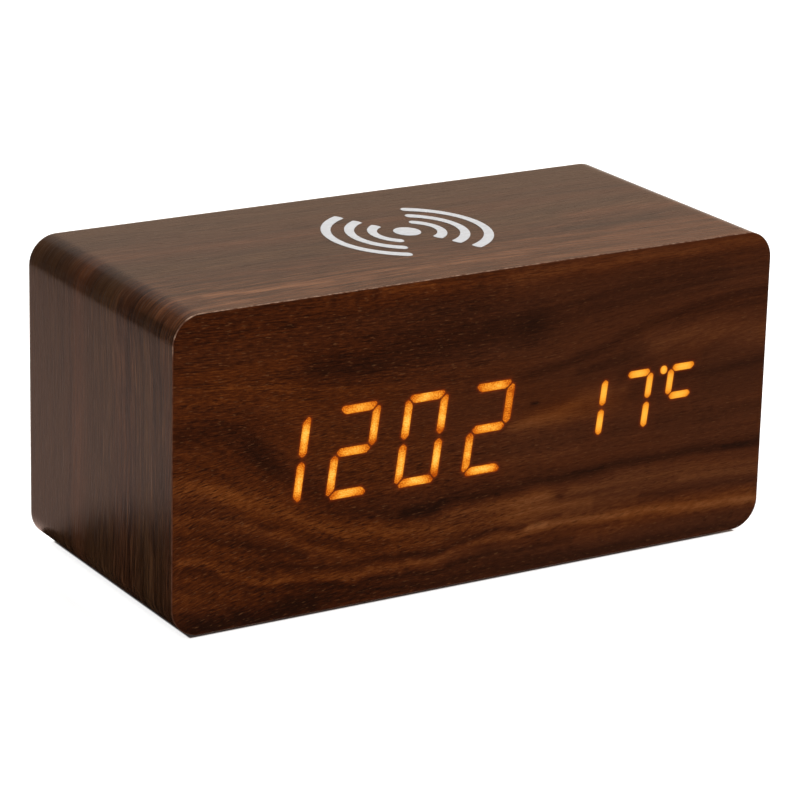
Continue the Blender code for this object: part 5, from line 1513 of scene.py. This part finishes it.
# ================================================================ cells and contacts
CELL_Z = [(TUB_Z0 + TUB_Z1) / 2 + k * 11.8 for k in (-1, 0, 1)]
CELL_Y, CELL_R = TUB_FLOOR + 0.35 + 5.25, 5.25


def build_cell(node, way):
    low, high = box_mm(node)
    x0, x1 = low[0], high[0]
    y, z = (low[1] + high[1]) / 2, (low[2] + high[2]) / 2
    length = x1 - x0 - 1.0
    r = CELL_R
    profile = [(0, length + 1.0), (1.55, length + 1.0), (1.9, length + 0.75), (1.9, length + 0.08), (2.3, length), (3.6, length), (3.8, length - 0.1), (4.2, length - 0.05), (r - 0.5, length),
               (r - 0.15, length - 0.12), (r, length - 0.55), (r, 0.5), (r - 0.12, 0.14), (r - 0.45, 0.0), (r - 0.8, 0.12), (0, 0.10)]
    mesh = turned(profile, (x0 if way > 0 else x1, y, z), "X" if way > 0 else "-X", 56)
    layer = mesh.uv_layers.new(name="jacket")
    origin = x0 if way > 0 else x1
    for p in mesh.polygons:
        radii = []
        for li in p.loop_indices:
            co = mesh.vertices[mesh.loops[li].vertex_index].co / MM
            layer.data[li].uv = (way * (co.x - origin) / (length + 1.0), math.atan2(co.z - z, co.y - y))
            radii.append(math.hypot(co.z - z, co.y - y))
        p.material_index = 1 if max(radii) < r - 0.4 else 0
    return mesh


for i, way in ((0, 1), (1, -1), (2, 1)):
    node = f"battery_cell_{i + 1}"
    place(f"cell_{i + 1}", build_cell(node, way), "case", [node], 40, [JACKET, STEEL])


def spring_line(x0, way, z, length=5.0, turns=2.5, r0=3.4, r1=2.0, n=28):
    out = []
    total = int(turns * n)
    for k in range(total + 1):
        t = k / total
        rise = max(0.0, t - 0.12) / 0.88
        a = 2 * math.pi * turns * t
        r = r0 + (r1 - r0) * t
        out.append((x0 + way * (0.2 + rise * (length - 0.6)), CELL_Y + r * math.cos(a), z + r * math.sin(a)))
    return out


for node, end, spring_z in (("negative_contact", -1, CELL_Z[0]), ("bridge_contact_low", 1, CELL_Z[1]), ("bridge_contact_high", -1, CELL_Z[2]), ("positive_contact", 1, None)):
    low, high = box_mm(node)
    x0 = TUB_X0 + 0.3 if end < 0 else TUB_X1 - 0.7
    parts = [(block((x0, x0 + 0.4), (CELL_Y - 4.0, CELL_Y + 4.0), (low[2], high[2]), 0.12, 2), 0)]
    if spring_z is not None:
        face = x0 + 0.4 if end < 0 else x0
        parts.append((wire(spring_line(face, -end, spring_z), 0.35, 12), 0))
    place("spring_" + node, join_meshes(parts), "case", [node], 50, [STEEL])


# ================================================================ light, floor and camera
GLOW_NEAR = 0.26                   # how much the table glows, beside the light that falls on it
BAND_LEVEL, BAND_COLOUR = 1.27, (1.0, 0.68, 0.48, 1.0)
SKY_STRENGTH = 3.5
WARM_CARD = 1.92


def build_stage():
    n = 96
    bm = bmesh.new()
    bmesh.ops.create_circle(bm, cap_ends=True, radius=12.0, segments=n)
    mesh = bpy.data.meshes.new("studio_floor")
    bm.to_mesh(mesh)
    bm.free()
    # A pale table that is lit a little from below, all round the case but not under it.
    f = Finish("studio_floor_paint")
    p = f.place()
    x, y, _ = f.split(p)
    dx = f.math("MAXIMUM", f.add(f.math("ABSOLUTE", x), 5.2 - HALF_W), 0.0)
    dy = f.math("MAXIMUM", f.add(f.math("ABSOLUTE", y), 1.6 - WY1), 0.0)
    away = f.math("SQRT", f.add(f.times(dx, dx), f.times(dy, dy)))
    cloud = f.noise(p, 0.002, 2.0, 0.5)
    f.set("Base Color", f.mix(cloud, (0.905, 0.905, 0.905), (0.915, 0.915, 0.912)))
    f.set("Roughness", 0.9)
    f.set("Specular IOR Level", 0.0)
    f.set("Emission Color", (1.0, 1.0, 1.0))
    # Painted light: within 14 mm of the case the table glows more, filling in the case's contact shadow.
    f.set("Emission Strength", f.times(f.band(away, 0.0, 0.5), f.add(GLOW_NEAR, f.band(away, 0.0, 14.0, 0.55, 0.0), f.band(away, 600.0, 2500.0, 0.0, 0.35))))
    mesh.materials.append(f.mat)
    floor = bpy.data.objects.new("studio_floor", mesh)
    bpy.context.scene.collection.objects.link(floor)
    # Flat cards lie on the table on the left. They are seen only as reflections: a warm one gives that side its shine,
    # and dark ones end it, near the case's lower front corner and far away.
    near = [(-66.0, 36.0), (-82.0, 36.0), (-85.0, 38.5), (-91.0, 42.6), (-98.0, 46.6), (-102.0, 43.7), (-105.0, 40.0), (-109.0, 34.0),
            (-150.0, -8.0), (-230.0, -90.0), (-230.0, -150.0), (-66.0, -150.0)]
    cards = (
        ("dark_card_near", near, 0.6, (0.020, 0.017, 0.014), 0.0),
        ("warm_card", [(-66.0, -150.0), (-66.0, 330.0), (-190.0, 330.0), (-190.0, -150.0)], 0.5, (1.0, 0.70, 0.60), WARM_CARD),
        ("dark_card_far", [(-66.0, -300.0), (-66.0, 2500.0), (-1500.0, 2500.0), (-1500.0, -300.0)], 0.4, (0.020, 0.017, 0.014), 0.0),
    )
    for name, pts, height, colour, glow in cards:
        f = Finish(name)
        cloud = f.noise(f.place(), 0.02, 1.0, 0.5)
        f.set("Base Color", f.mix(cloud, (0.015, 0.012, 0.010), (0.022, 0.018, 0.015)))
        f.set("Emission Color", f.mix(cloud, [c * 0.98 for c in colour], colour))
        f.set("Emission Strength", glow)
        f.set("Roughness", 0.9)
        f.set("Specular IOR Level", 0.0)
        card_mesh = mesh_from([(x, y, height) for x, y in pts], [tuple(range(len(pts)))], name)
        card_mesh.materials.append(f.mat)
        card = bpy.data.objects.new(name, card_mesh)
        bpy.context.scene.collection.objects.link(card)
        card.visible_camera = card.visible_shadow = card.visible_transmission = card.visible_diffuse = False


def area_light(name, at, toward, size, power, colour=(1, 1, 1)):
    data = bpy.data.lights.new(name, "AREA")
    data.shape = "RECTANGLE"
    data.size, data.size_y = size
    data.energy = power
    data.color = colour
    ob = bpy.data.objects.new(name, data)
    bpy.context.scene.collection.objects.link(ob)
    ob.location = at
    ob.rotation_euler = (Vector(toward) - Vector(at)).to_track_quat("-Z", "Y").to_euler()
    ob.visible_camera = False
    return ob


def sky_light(name, toward, spread, strength, colour=(1, 1, 1)):
    """A very wide, even softbox, far away."""
    data = bpy.data.lights.new(name, "SUN")
    data.angle = math.radians(spread)
    data.energy = strength
    data.color = colour
    ob = bpy.data.objects.new(name, data)
    bpy.context.scene.collection.objects.link(ob)
    ob.rotation_euler = Vector(toward).to_track_quat("-Z", "Y").to_euler()
    return ob


def build_light():
    world = bpy.data.worlds.new("studio")
    bpy.context.scene.world = world
    world.use_nodes = True
    tree = world.node_tree
    tree.nodes.clear()

    def node(kind, **props):
        n = tree.nodes.new(kind)
        for k, v in props.items():
            setattr(n, k, v)
        return n

    def link(a, b):
        tree.links.new(a, b)

    def ranged(value, low, high, to_low, to_high):
        n = node("ShaderNodeMapRange", interpolation_type="SMOOTHSTEP")
        link(value, n.inputs[0])
        for k, v in enumerate((low, high, to_low, to_high), 1):
            n.inputs[k].default_value = v
        return n.outputs[0]

    def maths(op, a, b):
        n = node("ShaderNodeMath", operation=op)
        for value, socket in zip((a, b), n.inputs):
            if isinstance(value, (int, float)):
                socket.default_value = value
            else:
                link(value, socket)
        return n.outputs[0]

    coords = node("ShaderNodeTexCoord").outputs["Generated"]
    xyz = node("ShaderNodeSeparateXYZ")
    link(coords, xyz.inputs[0])
    x, y, z = xyz.outputs
    # A warm pale band lies low behind the object on the right; it is darker behind on the left and overhead.
    low_band = ranged(z, 0.36, 0.50, 1.0, 0.0)
    turn = maths("ADD", maths("MULTIPLY", x, 0.85), maths("MULTIPLY", y, 0.35))
    right = ranged(turn, -0.05, 0.42, 0.0, 1.0)
    front = ranged(y, 0.1, -0.5, 0.0, 1.0)
    around = maths("ADD", maths("MULTIPLY", front, 0.10), 0.10)
    seen = node("ShaderNodeLightPath").outputs["Is Camera Ray"]
    even = node("ShaderNodeMix", data_type="FLOAT")
    link(seen, even.inputs[0])
    link(around, even.inputs[2])
    even.inputs[3].default_value = 1.0
    plain = node("ShaderNodeBackground")
    plain.inputs[0].default_value = (1.0, 1.0, 1.0, 1.0)
    link(even.outputs[0], plain.inputs[1])
    band = node("ShaderNodeBackground")
    band.inputs[0].default_value = BAND_COLOUR
    lit = maths("MULTIPLY", maths("MULTIPLY", low_band, right), BAND_LEVEL)
    link(maths("MULTIPLY", lit, maths("SUBTRACT", 1.0, seen)), band.inputs[1])
    both = node("ShaderNodeAddShader")
    link(plain.outputs[0], both.inputs[0])
    link(band.outputs[0], both.inputs[1])
    out = node("ShaderNodeOutputWorld")
    link(both.outputs[0], out.inputs[0])

    sky_light("overhead_softbox", (0.0, 0.0, -1.0), 100.0, SKY_STRENGTH)
    area_light("front_fill", (-0.5, -1.6, 1.0), (0.0, 0.0, 0.03), (1.2, 0.9), 1.0)
    area_light("rear_fill", (0.4, 1.7, 1.2), (0.0, 0.0, 0.03), (1.0, 0.8), 2.0)


def build_camera():
    az, el, roll = math.radians(-31.5192), math.radians(18.2738), math.radians(1.4335)
    back = Vector((math.sin(az) * math.cos(el), -math.cos(az) * math.cos(el), math.sin(el)))
    right = Vector((0, 0, 1)).cross(back).normalized()
    up = back.cross(right)
    cam_x = right * math.cos(roll) + up * math.sin(roll)
    cam_y = up * math.cos(roll) - right * math.sin(roll)
    data = bpy.data.cameras.new("photo_camera")
    data.sensor_fit = "HORIZONTAL"
    data.sensor_width = 36.0
    data.lens = 162.41
    data.clip_start, data.clip_end = 0.01, 60.0
    camera = bpy.data.objects.new("photo_camera", data)
    bpy.context.scene.collection.objects.link(camera)
    camera.matrix_world = Matrix(((cam_x.x, cam_y.x, back.x, -0.39924), (cam_x.y, cam_y.y, back.y, -0.65070), (cam_x.z, cam_y.z, back.z, 0.28440), (0, 0, 0, 1)))
    bpy.context.scene.camera = camera


build_stage()
build_light()
build_camera()
bpy.context.scene.view_settings.view_transform = "Standard"
